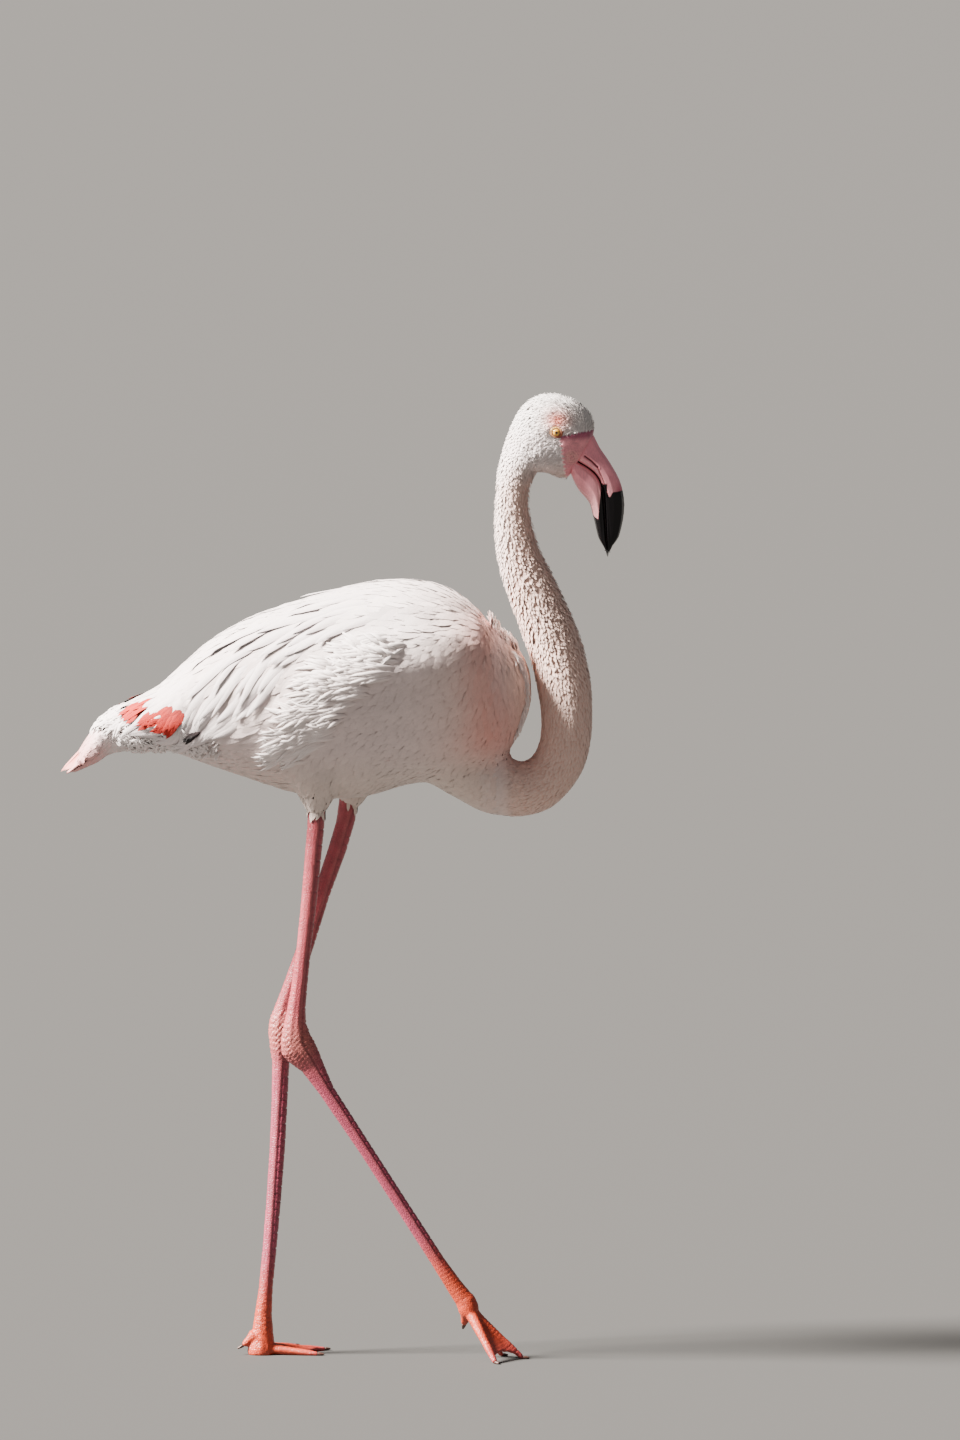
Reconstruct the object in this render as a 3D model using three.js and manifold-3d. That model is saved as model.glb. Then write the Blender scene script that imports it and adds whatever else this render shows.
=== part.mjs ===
// A life-size greater flamingo in mid stride, as one still model that stands on its own feet.
// Millimetres, +Z up, the bird faces +X and its left side is +Y. The origin lies on the floor,
// under the middle of the bird's bounding box.
import * as THREE from "three";
import { mergeVertices } from "three/addons/utils/BufferGeometryUtils.js";
import Module from "manifold-3d";

const wasm = await Module();
wasm.setup();

// ---------------------------------------------------------------- driving dimensions
const GAP = 0.35; // clearance left between pieces that touch
const FEATHER_SLAB = 13; // thickness of the folded wing over the body
const BACK_STRIP = 20; // half width of the bare back between the two folded wings
const EYE = { x: 238.6, z: 1043, fromMiddle: 22.2, radius: 6.2 };
const TOE = { inner: 66, middle: 79, outer: 74, hind: 17 }; // lengths without the claw
const CLAW_LENGTH = 8;
const CLAW_OVERLAP = 0.5; // how far a claw starts inside its toe, before it is cut clear
const WEB_THICKNESS = 2.4;
const TIP_HEIGHT = 1.7; // of the middle of a toe tip over the floor, which cuts a flat under it

// A foot is set from the joint where its toes meet. Angles are in degrees: its heading is to the
// left of +X, each toe's yaw is to the left of the heading, and a pitch is downwards. The hind
// toe's root and the ball's ribs are offsets from the joint. The left foot stands flat, and the
// right foot is coming down, so only the tips of its toes touch the floor.
const LEFT_FOOT = {
  joint: [-94, 14, 7.5],
  heading: 24,
  yaw: { inner: -34, middle: 0, outer: 34 },
  clawPitch: 0,
  hind: { root: [-6, -2, 14.5], yaw: 160, pitch: 42, clawPitch: 30 },
  ball: [
    [-9.5, 17.1, 15, 17.1, 9.4],
    [-12, 7.5, 16, 7.5, 11],
    [-14, -2.5, 17, -2.5, 13.5],
    [-13, -9.5, 15, -9.5, 13],
  ],
};
const RIGHT_FOOT = {
  joint: [142, -24, 54],
  heading: -3,
  yaw: { inner: 30, middle: 0, outer: -54 },
  clawPitch: 5,
  hind: { root: [-4, 5, -1], yaw: 112, pitch: 66, clawPitch: 50 },
  ball: [
    [-15, 8, 3.5, 19, 8.6],
    [-12.5, -1, 7.5, 12, 9.4],
    [-8, -7, 10, 4, 9.2],
    [-1, -9, 9, -3, 7],
  ],
};

// A rib is one cross-section: [top x, top z, under x, under z, half width]. It spans from its top
// point to its under point in the plane of the body, and half its width to each side.
const TRUNK_RIBS = [
  [-259, 726, -261, 679, 28],
  [-241, 738, -239, 683, 39],
  [-205, 761, -199, 684, 54],
  [-160, 803, -154, 668, 68],
  [-115, 832, -110, 653, 81],
  [-71, 849, -65, 638, 91],
  [-26, 863, -20, 630, 97],
  [19, 875, 25, 631, 100],
  [64, 880, 73, 645, 99],
  [103, 876, 114, 650, 94],
  [133, 863, 150, 657, 87],
  [155, 844, 175, 670, 79],
  [170, 822, 188, 686, 68],
  [188, 807, 198, 703, 54],
  [203, 790, 207, 723, 36],
  [210.5, 768, 211.5, 742, 14],
];
const NECK_AND_HEAD_RIBS = [
  [52, 752, 46, 668, 62],
  [90, 733, 80, 655, 59],
  [118, 716, 106, 641, 54],
  [142, 703, 131, 627, 48],
  [165, 691, 155, 614, 42],
  [183, 680, 181, 609, 37],
  [193, 673, 208, 610, 34],
  [202, 672, 234, 619, 32],
  [210, 676, 255, 639, 31],
  [217, 686, 270, 663, 30],
  [221, 703, 278, 692, 29.5],
  [221, 727, 280, 727, 29],
  [216, 757, 278, 765, 28.5],
  [209, 786, 270, 801, 27.5],
  [199, 816, 258, 834, 26.5],
  [189, 844, 244, 864, 25.5],
  [179, 871, 233, 887, 24],
  [172.5, 897, 222, 908, 22.5],
  [169, 926, 214, 934, 21],
  [169, 954, 209, 958, 20],
  [171, 982, 210.5, 980, 19.5],
  [174.5, 1003, 217, 997, 20],
  [180, 1023, 221, 997, 22],
  [186, 1041, 226, 996.5, 24.5],
  [194, 1060, 232, 994.5, 26.5],
  [208, 1077, 238, 991, 27.5],
  [228, 1085, 245, 988.5, 27.5],
  [248.5, 1082, 250.5, 989.5, 26],
  [265.5, 1074.5, 253, 991.5, 23],
  [276.5, 1063.5, 254.2, 993.5, 20],
  [281, 1051, 254.8, 995, 17],
  [280, 1038.5, 255.4, 996.2, 14.5],
];
// Where that run is parted: the index of the rib at each cut, from the breast up to the bill.
const NECK_CUTS = { base: 5, bend: 10, middle: 15, top: 21 };
const UPPER_BILL_RIBS = [
  [280.3, 1038, 256.2, 1013.8, 14],
  [287, 1024, 265.6, 1008, 14.5],
  [294.6, 1013, 275.6, 1002.2, 15],
  [302.4, 1000.5, 284, 994.9, 15],
  [309, 988, 289.2, 985.7, 14.5],
  [313, 974.5, 291.8, 972.2, 13.5],
  [314.7, 960, 292.9, 957.5, 12],
  [313.2, 943, 294, 940.6, 10],
  [308.6, 924, 295.2, 922.6, 7.5],
  [303, 910.3, 296.4, 909.7, 4.5],
  [299.5, 904, 297.3, 904, 2],
];
const LOWER_BILL_RIBS = [
  [255.7, 1013.2, 254.6, 996.8, 13.5],
  [264.9, 1007.2, 258, 988, 14.5],
  [274.8, 1001.2, 264, 976.7, 15.5],
  [282.6, 993.9, 271.6, 968.2, 15.5],
  [287.6, 985.1, 276.6, 960.9, 14.5],
  [290.4, 972.2, 279.4, 950.8, 13],
  [291.6, 957.5, 282.4, 938.4, 11],
  [292.8, 940.6, 285.8, 923.8, 8.5],
  [294, 922.6, 290, 911, 6],
  [295.2, 909.7, 293.4, 904.9, 3.5],
];
const TAIL_RIBS = [
  [-262, 723, -262, 680, 34],
  [-274, 715, -271, 673, 37],
  [-287, 697, -284, 667, 36],
  [-298.5, 677.5, -296, 662.5, 31],
  [-309, 663, -308, 656.5, 23],
  [-314, 657.6, -313.6, 654.6, 14],
];
const RIGHT_THIGH_RIBS = [
  [-73, 702, 12, 697, 46],
  [-62, 660, 4, 660, 36],
  [-52, 638, -5, 640, 24],
  [-44, 625, -14, 627, 15],
  [-40, 617, -18, 618, 11],
];
const LEFT_THIGH_RIBS = [
  [-28, 700, 50, 700, 46],
  [-19, 656, 43, 659, 36],
  [-11, 637, 34, 639, 24],
  [-6, 627, 26, 625, 15],
  [-3, 620, 19, 616, 11],
];
const RIGHT_LEG_RIBS = [
  [-38.6, 616, -19, 617, 8.6],
  [-42, 575, -23.5, 575, 8.2],
  [-46.5, 519, -29, 519, 7.8],
  [-51.5, 468, -35.3, 468, 7.6],
  [-57.7, 423, -39.8, 423, 8],
  [-63.3, 392, -42, 394.5, 9],
  [-67.2, 374.2, -41.4, 379.8, 10.5],
  [-70, 357.3, -37, 367.4, 11.5],
  [-68.3, 343.8, -30.8, 356.2, 11.5],
  [-59.9, 334.8, -25.8, 344.9, 10],
  [-46.5, 325.5, -22, 334.5, 8],
  [-25, 297.5, -10.5, 307.3, 7.2],
  [20.9, 229.7, 33.5, 237.9, 6.8],
  [65.1, 160.5, 77.8, 168.7, 6.6],
  [100.3, 105, 113.4, 113.5, 6.7],
  [116.8, 77.6, 132.3, 87.5, 7.4],
  [126.5, 61.5, 145, 72.5, 8.6],
];
const LEFT_LEG_RIBS = [
  [-2.2, 620, 18, 616.3, 8.6],
  [-16.2, 572.6, 3.4, 567, 8.2],
  [-33.6, 519.7, -16.2, 514.1, 7.8],
  [-49.8, 465.7, -33, 460.1, 7.6],
  [-67.2, 417.4, -49.3, 411.7, 8],
  [-77.8, 390.3, -56, 387, 9],
  [-83.1, 376.3, -54.9, 374, 10.5],
  [-84, 361.7, -54.9, 360.5, 11.5],
  [-82.3, 345.9, -57.1, 345.9, 10.5],
  [-80.1, 330.2, -60.5, 330.2, 8.2],
  [-80.6, 288.2, -62.7, 288.2, 7.2],
  [-82.9, 231.9, -65.7, 231.9, 6.8],
  [-86.5, 175.7, -70.1, 175.7, 6.6],
  [-90.9, 119.4, -75.2, 119.4, 6.6],
  [-95.2, 74.4, -79.7, 74.4, 7],
  [-100, 43, -80.6, 43, 8],
  [-103, 25, -78.8, 25, 9.6],
];
// The ribs where a leg is parted into shank, ankle and tarsus, and its distance from the middle
// of the bird at the top, the ankle and the foot.
const LEG_CUTS = { ankleTop: 5, ankleUnder: 9 };
const RIGHT_LEG_SIDE = { top: -40, ankle: -30, foot: -24 };
const LEFT_LEG_SIDE = { top: 40, ankle: 28, foot: 14 };

// Side view of the folded wing, from the wrist along the back to the tail and home underneath.
const WING_OUTLINE = [
  [161, 842], [142, 862], [108, 884], [64, 892], [8, 884], [-48, 868], [-104, 850], [-155, 820],
  [-194, 788], [-228, 761], [-255, 740], [-250, 722], [-216, 706], [-177, 694], [-143, 689],
  [-110, 697], [-76, 723], [-42, 751], [2, 776], [64, 791], [120, 797], [153, 808], [164, 824],
];

// ---------------------------------------------------------------- finishes
const finish = (hex, roughness) =>
  new THREE.MeshStandardMaterial({ color: hex, roughness, metalness: 0 });
const PLUMAGE = finish(0xf1e2de, 0.85);
const WING_PLUMAGE = finish(0xf4e9e6, 0.8);
const TAIL_PLUMAGE = finish(0xefc5bd, 0.8);
const BARE_LEG = finish(0xb8586a, 0.5);
const BARE_FOOT = finish(0xd0604a, 0.45);
const BILL_PINK = finish(0xd8707c, 0.35);
const EYE_YELLOW = finish(0xe8b43c, 0.1);
const CLAW_HORN = finish(0x3a2622, 0.4);

// ---------------------------------------------------------------- lofting
// One column-wise Catmull-Rom curve through the ribs, with `steps` sections to each span.
function smoothRibs(ribs, steps) {
  const at = (i) => ribs[Math.min(Math.max(i, 0), ribs.length - 1)];
  const made = [];
  for (let i = 0; i < ribs.length - 1; i++) {
    for (let k = 0; k < steps; k++) {
      const t = k / steps;
      made.push(
        ribs[i].map((_, c) => {
          const [a, b, d, e] = [at(i - 1)[c], at(i)[c], at(i + 1)[c], at(i + 2)[c]];
          const curve = (2 * a - 5 * b + 4 * d - e) * t * t + (3 * b - a - 3 * d + e) * t * t * t;
          return 0.5 * (2 * b + (d - a) * t + curve);
        }),
      );
    }
  }
  made.push(ribs[ribs.length - 1]);
  return made;
}

// Each rib made larger all round by `by`, or smaller where `by` is negative.
function grown(ribs, by) {
  return ribs.map(([tx, tz, ux, uz, half, ...rest]) => {
    const long = Math.hypot(tx - ux, tz - uz);
    const [dx, dz] = [((tx - ux) / long) * by, ((tz - uz) / long) * by];
    return [tx + dx, tz + dz, ux - dx, uz - dz, half + by, ...rest];
  });
}

// The points of one rib. `wide` is how far up the rib it is widest, 0 at the under point and 1 at
// the top, and `square` is 2 for an ellipse and more for a boxier section.
function ringOf([tx, tz, ux, uz, half, middle = 0], { sides, wide, square }) {
  const [mx, mz] = [ux + (tx - ux) * wide, uz + (tz - uz) * wide];
  const bulge = (v) => Math.sign(v) * Math.abs(v) ** (2 / square);
  return Array.from({ length: sides }, (_, i) => {
    const angle = (2 * Math.PI * i) / sides;
    const up = bulge(Math.cos(angle));
    const [ex, ez] = up >= 0 ? [tx, tz] : [ux, uz];
    const share = Math.abs(up);
    return [mx + (ex - mx) * share, middle + half * bulge(Math.sin(angle)), mz + (ez - mz) * share];
  });
}

// A closed geometry through rings of points, with a flat fan at each end.
function skinRings(rings) {
  const sides = rings[0].length;
  const points = rings.flat();
  const faces = [];
  for (let r = 0; r < rings.length - 1; r++) {
    for (let i = 0; i < sides; i++) {
      const [a, b] = [r * sides + i, r * sides + ((i + 1) % sides)];
      faces.push(a, b, b + sides, a, b + sides, a + sides);
    }
  }
  for (const [start, turn] of [[0, 1], [(rings.length - 1) * sides, 0]]) {
    const centre = points.length;
    const ring = rings[start ? rings.length - 1 : 0];
    points.push([0, 1, 2].map((c) => ring.reduce((sum, p) => sum + p[c], 0) / sides));
    for (let i = 0; i < sides; i++) {
      const [a, b] = [start + i, start + ((i + 1) % sides)];
      faces.push(...(turn ? [centre, b, a] : [centre, a, b]));
    }
  }
  const geometry = new THREE.BufferGeometry();
  geometry.setAttribute("position", new THREE.Float32BufferAttribute(points.flat(), 3));
  geometry.setIndex(faces);
  return facingOut(geometry);
}

function facingOut(geometry) {
  const [p, index] = [geometry.attributes.position, geometry.index.array];
  const [a, b, c] = [new THREE.Vector3(), new THREE.Vector3(), new THREE.Vector3()];
  let volume = 0;
  for (let i = 0; i < index.length; i += 3) {
    a.fromBufferAttribute(p, index[i]);
    b.fromBufferAttribute(p, index[i + 1]);
    c.fromBufferAttribute(p, index[i + 2]);
    volume += a.dot(b.cross(c));
  }
  if (volume < 0)
    for (let i = 0; i < index.length; i += 3)
      [index[i + 1], index[i + 2]] = [index[i + 2], index[i + 1]];
  return geometry;
}

const ROUND = { steps: 2, sides: 12, wide: 0.5, square: 2 }; // unless a loft says otherwise

function loft(ribs, shape = {}) {
  const how = { ...ROUND, ...shape };
  return skinRings(smoothRibs(ribs, how.steps).map((rib) => ringOf(rib, how)));
}

// One long run of ribs as several solids end to end, each a GAP short of the one before it.
function loftInParts(ribs, cuts, shape = {}) {
  const how = { ...ROUND, ...shape };
  const rings = smoothRibs(ribs, how.steps).map((rib) => ringOf(rib, how));
  const ends = [0, ...cuts, ribs.length - 1].map((cut) => cut * how.steps);
  return ends.slice(1).map((end, k) => {
    const part = rings.slice(ends[k], end + 1).map((ring) => ring.map((p) => [...p]));
    const [first, next] = part;
    const far = Math.min(...first.map((p, i) => Math.hypot(...p.map((v, c) => next[i][c] - v))));
    part[0] = first.map((p, i) => p.map((v, c) => v + ((next[i][c] - v) * GAP) / far));
    return skinRings(part);
  });
}

// ---------------------------------------------------------------- cutting and joining
function solid(geometry) {
  const bare = geometry.index ? geometry.toNonIndexed() : geometry.clone();
  bare.deleteAttribute("normal");
  bare.deleteAttribute("uv");
  const merged = mergeVertices(bare, 1e-4);
  return new wasm.Manifold(
    new wasm.Mesh({
      numProp: 3,
      vertProperties: merged.attributes.position.array,
      triVerts: new Uint32Array(merged.index.array),
    }),
  );
}

function geometryOf(manifold) {
  const mesh = manifold.getMesh();
  const geometry = new THREE.BufferGeometry();
  geometry.setAttribute("position", new THREE.BufferAttribute(mesh.vertProperties, 3));
  geometry.setIndex(new THREE.BufferAttribute(mesh.triVerts, 1));
  geometry.computeVertexNormals();
  return geometry;
}

const flamingo = new THREE.Group();

function add(name, geometry, material) {
  const mesh = new THREE.Mesh(geometry, material);
  mesh.name = name;
  flamingo.add(mesh);
}

// The room a loft takes in its neighbour: the loft itself, a GAP larger all round and at its ends.
function roomOf(ribs, shape) {
  const room = grown(ribs, GAP);
  const last = room.length - 1;
  const pushed = (end, next) => {
    const far = Math.hypot(end[0] - next[0], end[1] - next[1]);
    return end.map((v, c) => (c < 4 ? v + ((v - next[c]) * GAP * 1.6) / far : v));
  };
  const ends = [pushed(room[0], room[1]), pushed(room[last], room[last - 1])];
  return solid(loft([ends[0], ...room.slice(1, last), ends[1]], shape));
}

// ---------------------------------------------------------------- trunk and folded wings
const BODY_SHAPE = { steps: 2, sides: 18, wide: 0.5, square: 2.15 };
const HOLLOW_SHAPE = { steps: 1, sides: 14, wide: 0.5, square: 2.15 };
const WING_REACH = 130; // further out than any part of the wing
const WING_EDGE_POINTS = 34;

// The room of one folded wing: its side outline, grown by `by`, from the back strip outwards.
function wingRoom(side, by) {
  const middle = [-40, 790];
  const outline = WING_OUTLINE.map(([x, z]) => {
    const far = Math.hypot(x - middle[0], z - middle[1]);
    return new THREE.Vector2(x + ((x - middle[0]) / far) * by, z + ((z - middle[1]) / far) * by);
  });
  const edge = new THREE.SplineCurve([...outline, outline[0]]).getPoints(WING_EDGE_POINTS);
  const shape = new THREE.Shape(edge);
  const inner = BACK_STRIP - by;
  const room = new THREE.ExtrudeGeometry(shape, { depth: WING_REACH, bevelEnabled: false });
  room.rotateX(Math.PI / 2); // the outline now stands in XZ and its depth runs along -Y
  room.translate(0, side > 0 ? inner + WING_REACH : -inner, 0);
  return solid(room);
}

const bodySolid = solid(loft(TRUNK_RIBS, BODY_SHAPE));
const underWing = solid(loft(grown(TRUNK_RIBS.slice(0, -2), -FEATHER_SLAB), HOLLOW_SHAPE));
const underWingBed = solid(loft(grown(TRUNK_RIBS.slice(0, -2), -FEATHER_SLAB - GAP), HOLLOW_SHAPE));
const clearOfBody = solid(loft(grown(TRUNK_RIBS, GAP), BODY_SHAPE));

function trunkWithFoldedWings() {
  let trunk = bodySolid;
  for (const [name, side] of [["wing_left", 1], ["wing_right", -1]]) {
    const wing = bodySolid.intersect(wingRoom(side, 0)).subtract(underWing);
    add(name, geometryOf(largest(wing)), WING_PLUMAGE);
    trunk = trunk.subtract(wingRoom(side, GAP).subtract(underWingBed));
  }
  return largest(trunk);
}

// Cuts can leave crumbs, and a node is one body.
function largest(manifold) {
  return manifold.decompose().sort((a, b) => b.volume() - a.volume())[0];
}

// ---------------------------------------------------------------- neck, head, eyes and bill
function eyeBall(side, by) {
  const ball = new THREE.SphereGeometry(EYE.radius + by, 12, 7);
  ball.translate(EYE.x, side * EYE.fromMiddle, EYE.z);
  return ball;
}

const UPPER_BILL_SHAPE = { sides: 10, wide: 0.22, square: 2.3 };
const LOWER_BILL_SHAPE = { sides: 10, wide: 0.74, square: 2.3 };

function neckAndHead() {
  const parts = loftInParts(NECK_AND_HEAD_RIBS, Object.values(NECK_CUTS), { sides: 14 });
  const names = ["neck_base", "neck_bend", "neck_middle", "neck_top"];
  names.forEach((name, i) => {
    const part = solid(parts[i]).subtract(clearOfBody);
    add(name, geometryOf(largest(part)), PLUMAGE);
  });
  let head = solid(parts[names.length])
    .subtract(roomOf(UPPER_BILL_RIBS, UPPER_BILL_SHAPE))
    .subtract(roomOf(LOWER_BILL_RIBS, LOWER_BILL_SHAPE));
  for (const [name, side] of [["eye_left", 1], ["eye_right", -1]]) {
    head = head.subtract(solid(eyeBall(side, GAP)));
    add(name, eyeBall(side, 0), EYE_YELLOW);
  }
  add("head", geometryOf(largest(head)), PLUMAGE);
}

function bill() {
  const upper = solid(loft(UPPER_BILL_RIBS, UPPER_BILL_SHAPE));
  const lower = solid(loft(LOWER_BILL_RIBS, LOWER_BILL_SHAPE));
  add("bill_upper", geometryOf(upper), BILL_PINK);
  const clear = lower.subtract(roomOf(UPPER_BILL_RIBS, UPPER_BILL_SHAPE));
  add("bill_lower", geometryOf(largest(clear)), BILL_PINK);
}

// ---------------------------------------------------------------- legs and feet
const LEG_SHAPE = { sides: 10, steps: 1 };

// Gives each rib of a leg its distance from the middle of the bird.
function besideBody(ribs, side) {
  const [top, ankle, foot] = [ribs[0][1], ribs[LEG_CUTS.ankleTop + 2][1], ribs[ribs.length - 1][1]];
  return ribs.map((rib) => {
    const z = rib[1];
    const [from, to, share] =
      z > ankle
        ? [side.ankle, side.top, (z - ankle) / (top - ankle)]
        : [side.foot, side.ankle, (z - foot) / (ankle - foot)];
    return [...rib, from + (to - from) * share];
  });
}

function leg(which, ribs, thighRibs, side, footShape) {
  const thigh = thighRibs.map((rib) => [...rib, side.top]);
  add(`thigh_${which}`, geometryOf(largest(solid(loft(thigh)).subtract(clearOfBody))), PLUMAGE);
  const legRibs = besideBody(ribs, side);
  const parts = loftInParts(legRibs, [LEG_CUTS.ankleTop, LEG_CUTS.ankleUnder], LEG_SHAPE);
  ["shank", "ankle", "tarsus"].forEach((name, i) => add(`${name}_${which}`, parts[i], BARE_LEG));
  foot(which, legRibs, footShape);
}

// A toe's own ribs run along X: its share of the length, how deep it is above and below, and half
// its width, with a swelling at each joint and pad.
const TOE_RIBS = [
  [0, 7.6, 7.6],
  [0.2, 6, 6.4],
  [0.42, 4.9, 5.7],
  [0.6, 4.1, 4.8],
  [0.76, 3.9, 4.6],
  [1, 2.5, 3.1],
];
const CLAW_RIBS = [
  [0, 2.2, 2.7],
  [0.5, 1.8, 2.3],
  [1, 0.9, 1.1],
];

const widened = (ribs) => ribs.map(([share, deep, half]) => [share, deep + GAP, half + GAP]);

// Turns a piece that lies along +X to point `yaw` degrees left of +X and `pitch` degrees down.
function aim(geometry, from, yaw, pitch) {
  geometry.rotateY(THREE.MathUtils.degToRad(pitch));
  geometry.rotateZ(THREE.MathUtils.degToRad(yaw));
  geometry.translate(...from);
  return geometry;
}

// A piece along +X from [share of its length, half its depth, half its width] at each rib.
function along(ribs, length, sides = 8) {
  const made = ribs.map(([share, deep, half]) => {
    const x = share * length;
    return [x, deep, x, -deep, half];
  });
  return loft(made, { steps: 1, sides });
}

function direction(yaw, pitch) {
  const [y, p] = [THREE.MathUtils.degToRad(yaw), THREE.MathUtils.degToRad(pitch)];
  return new THREE.Vector3(Math.cos(y) * Math.cos(p), Math.sin(y) * Math.cos(p), -Math.sin(p));
}

// The web between two toes: a thin plate with a hollow front edge, set on the toes' own axes.
function web(joint, first, second) {
  const outline = new THREE.Shape();
  outline.moveTo(0.04, 0.04);
  outline.lineTo(0.93, 0.02);
  outline.quadraticCurveTo(0.36, 0.36, 0.02, 0.9);
  outline.lineTo(0.04, 0.04);
  const plate = new THREE.ExtrudeGeometry(outline, {
    depth: WEB_THICKNESS,
    bevelEnabled: false,
    curveSegments: 4,
  });
  plate.translate(0, 0, -WEB_THICKNESS / 2);
  const normal = new THREE.Vector3().crossVectors(first, second).normalize();
  plate.applyMatrix4(new THREE.Matrix4().makeBasis(first, second, normal));
  plate.translate(...joint);
  if (!plate.index) plate.setIndex([...Array(plate.attributes.position.count).keys()]);
  return facingOut(plate);
}

// Everything below the floor, which cuts the flats that the bird stands on.
function underFloor() {
  const block = new THREE.BoxGeometry(600, 300, 60);
  block.translate(0, 0, -30);
  return solid(block);
}

// How far down a toe of this length slopes for its tip to come from this height to the floor.
function slopeToFloor(length, height) {
  return THREE.MathUtils.radToDeg(Math.asin((height - TIP_HEIGHT) / length));
}

function toesOf({ joint, heading, yaw, clawPitch, hind }) {
  const front = Object.keys(yaw).map((name) => ({
    name,
    root: joint,
    length: TOE[name],
    yaw: heading + yaw[name],
    pitch: slopeToFloor(TOE[name], joint[2]),
    clawPitch,
  }));
  const root = joint.map((v, c) => v + hind.root[c]);
  return [...front, { ...hind, name: "hind", root, length: TOE.hind, yaw: heading + hind.yaw }];
}

function foot(which, legRibs, shape) {
  const floor = underFloor();
  const [x, y, z] = shape.joint;
  const ball = shape.ball.map(([tx, tz, ux, uz, half]) => [x + tx, z + tz, x + ux, z + uz, half, y]);
  const toes = toesOf(shape);
  let flesh = solid(loft(ball));
  for (const toe of toes) {
    flesh = flesh.add(solid(aim(along(TOE_RIBS, toe.length), toe.root, toe.yaw, toe.pitch)));
    const tip = direction(toe.yaw, toe.pitch).multiplyScalar(toe.length - CLAW_OVERLAP);
    const clawRoot = tip.add(new THREE.Vector3(...toe.root)).toArray();
    const claw = aim(along(CLAW_RIBS, CLAW_LENGTH, 6), clawRoot, toe.yaw, toe.clawPitch);
    const toeRoom = aim(along(widened(TOE_RIBS), toe.length + GAP), toe.root, toe.yaw, toe.pitch);
    const clear = solid(claw).subtract(solid(toeRoom)).subtract(floor);
    add(`claw_${which}_${toe.name}`, geometryOf(largest(clear)), CLAW_HORN);
  }
  const [inner, middle, outer] = toes.map((toe) =>
    direction(toe.yaw, toe.pitch).multiplyScalar(toe.length),
  );
  flesh = flesh.add(solid(web(shape.joint, inner, middle)));
  flesh = flesh.add(solid(web(shape.joint, middle, outer)));
  const legRoom = roomOf(legRibs.slice(LEG_CUTS.ankleUnder), LEG_SHAPE);
  const clear = flesh.subtract(floor).subtract(legRoom);
  add(`foot_${which}`, geometryOf(largest(clear)), BARE_FOOT);
}

// ---------------------------------------------------------------- assembly
add("trunk", geometryOf(trunkWithFoldedWings()), PLUMAGE);
const tail = solid(loft(TAIL_RIBS, { sides: 14, steps: 1 })).subtract(clearOfBody);
add("tail", geometryOf(largest(tail)), TAIL_PLUMAGE);
neckAndHead();
bill();
leg("left", LEFT_LEG_RIBS, LEFT_THIGH_RIBS, LEFT_LEG_SIDE, LEFT_FOOT);
leg("right", RIGHT_LEG_RIBS, RIGHT_THIGH_RIBS, RIGHT_LEG_SIDE, RIGHT_FOOT);

export default flamingo;
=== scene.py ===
"""A life-size greater flamingo in mid stride: one skin under a coat of feathers, bill, eyes and claws."""

import math

import bmesh
import bpy
import numpy as np
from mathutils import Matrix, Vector
from mathutils.bvhtree import BVHTree


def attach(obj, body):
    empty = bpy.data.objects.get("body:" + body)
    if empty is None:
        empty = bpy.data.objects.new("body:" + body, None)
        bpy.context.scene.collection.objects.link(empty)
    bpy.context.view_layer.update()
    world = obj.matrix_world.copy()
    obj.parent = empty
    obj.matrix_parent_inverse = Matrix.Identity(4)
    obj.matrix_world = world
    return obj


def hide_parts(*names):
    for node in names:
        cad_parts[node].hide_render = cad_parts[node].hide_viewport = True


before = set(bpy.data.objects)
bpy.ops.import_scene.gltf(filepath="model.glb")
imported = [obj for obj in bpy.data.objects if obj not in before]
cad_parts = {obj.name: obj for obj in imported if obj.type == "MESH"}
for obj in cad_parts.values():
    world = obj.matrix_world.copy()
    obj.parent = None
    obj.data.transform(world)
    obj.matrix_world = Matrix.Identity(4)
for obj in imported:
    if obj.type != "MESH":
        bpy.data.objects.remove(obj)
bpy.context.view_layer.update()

# ------------------------------------------------------------------ camera
# A long lens, level with a person's chest, looks square at the bird's right side. The middle of
# the picture is 0.153 m ahead of the bird's middle and 0.718 m over the floor.
PICTURE_HEIGHT_PX = 1440
METRES_PER_PX = 0.00112
SENSOR_MM = 36.0
LENS_AIM = Vector((0.1534, 0.0, 0.7179))
LENS_DISTANCE = 20.0
LENS_ELEVATION = math.radians(5.5)
NEAREST_SEEN, FARTHEST_SEEN = 0.5, 400.0


def link_object(name, data):
    """A new object in the scene that shows this data."""
    made = bpy.data.objects.new(name, data)
    bpy.context.scene.collection.objects.link(made)
    return made


camera_data = bpy.data.cameras.new("long_lens")
camera_data.sensor_fit = "VERTICAL"
camera_data.sensor_height = SENSOR_MM
camera_data.lens = SENSOR_MM * LENS_DISTANCE / (PICTURE_HEIGHT_PX * METRES_PER_PX)
camera_data.clip_start = NEAREST_SEEN
camera_data.clip_end = FARTHEST_SEEN
camera = link_object("long_lens", camera_data)
lens_offset = Vector((0.0, -math.cos(LENS_ELEVATION), math.sin(LENS_ELEVATION))) * LENS_DISTANCE
camera.location = LENS_AIM + lens_offset
camera.rotation_euler = (-lens_offset).to_track_quat("-Z", "Y").to_euler()
bpy.context.scene.camera = camera


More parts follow.
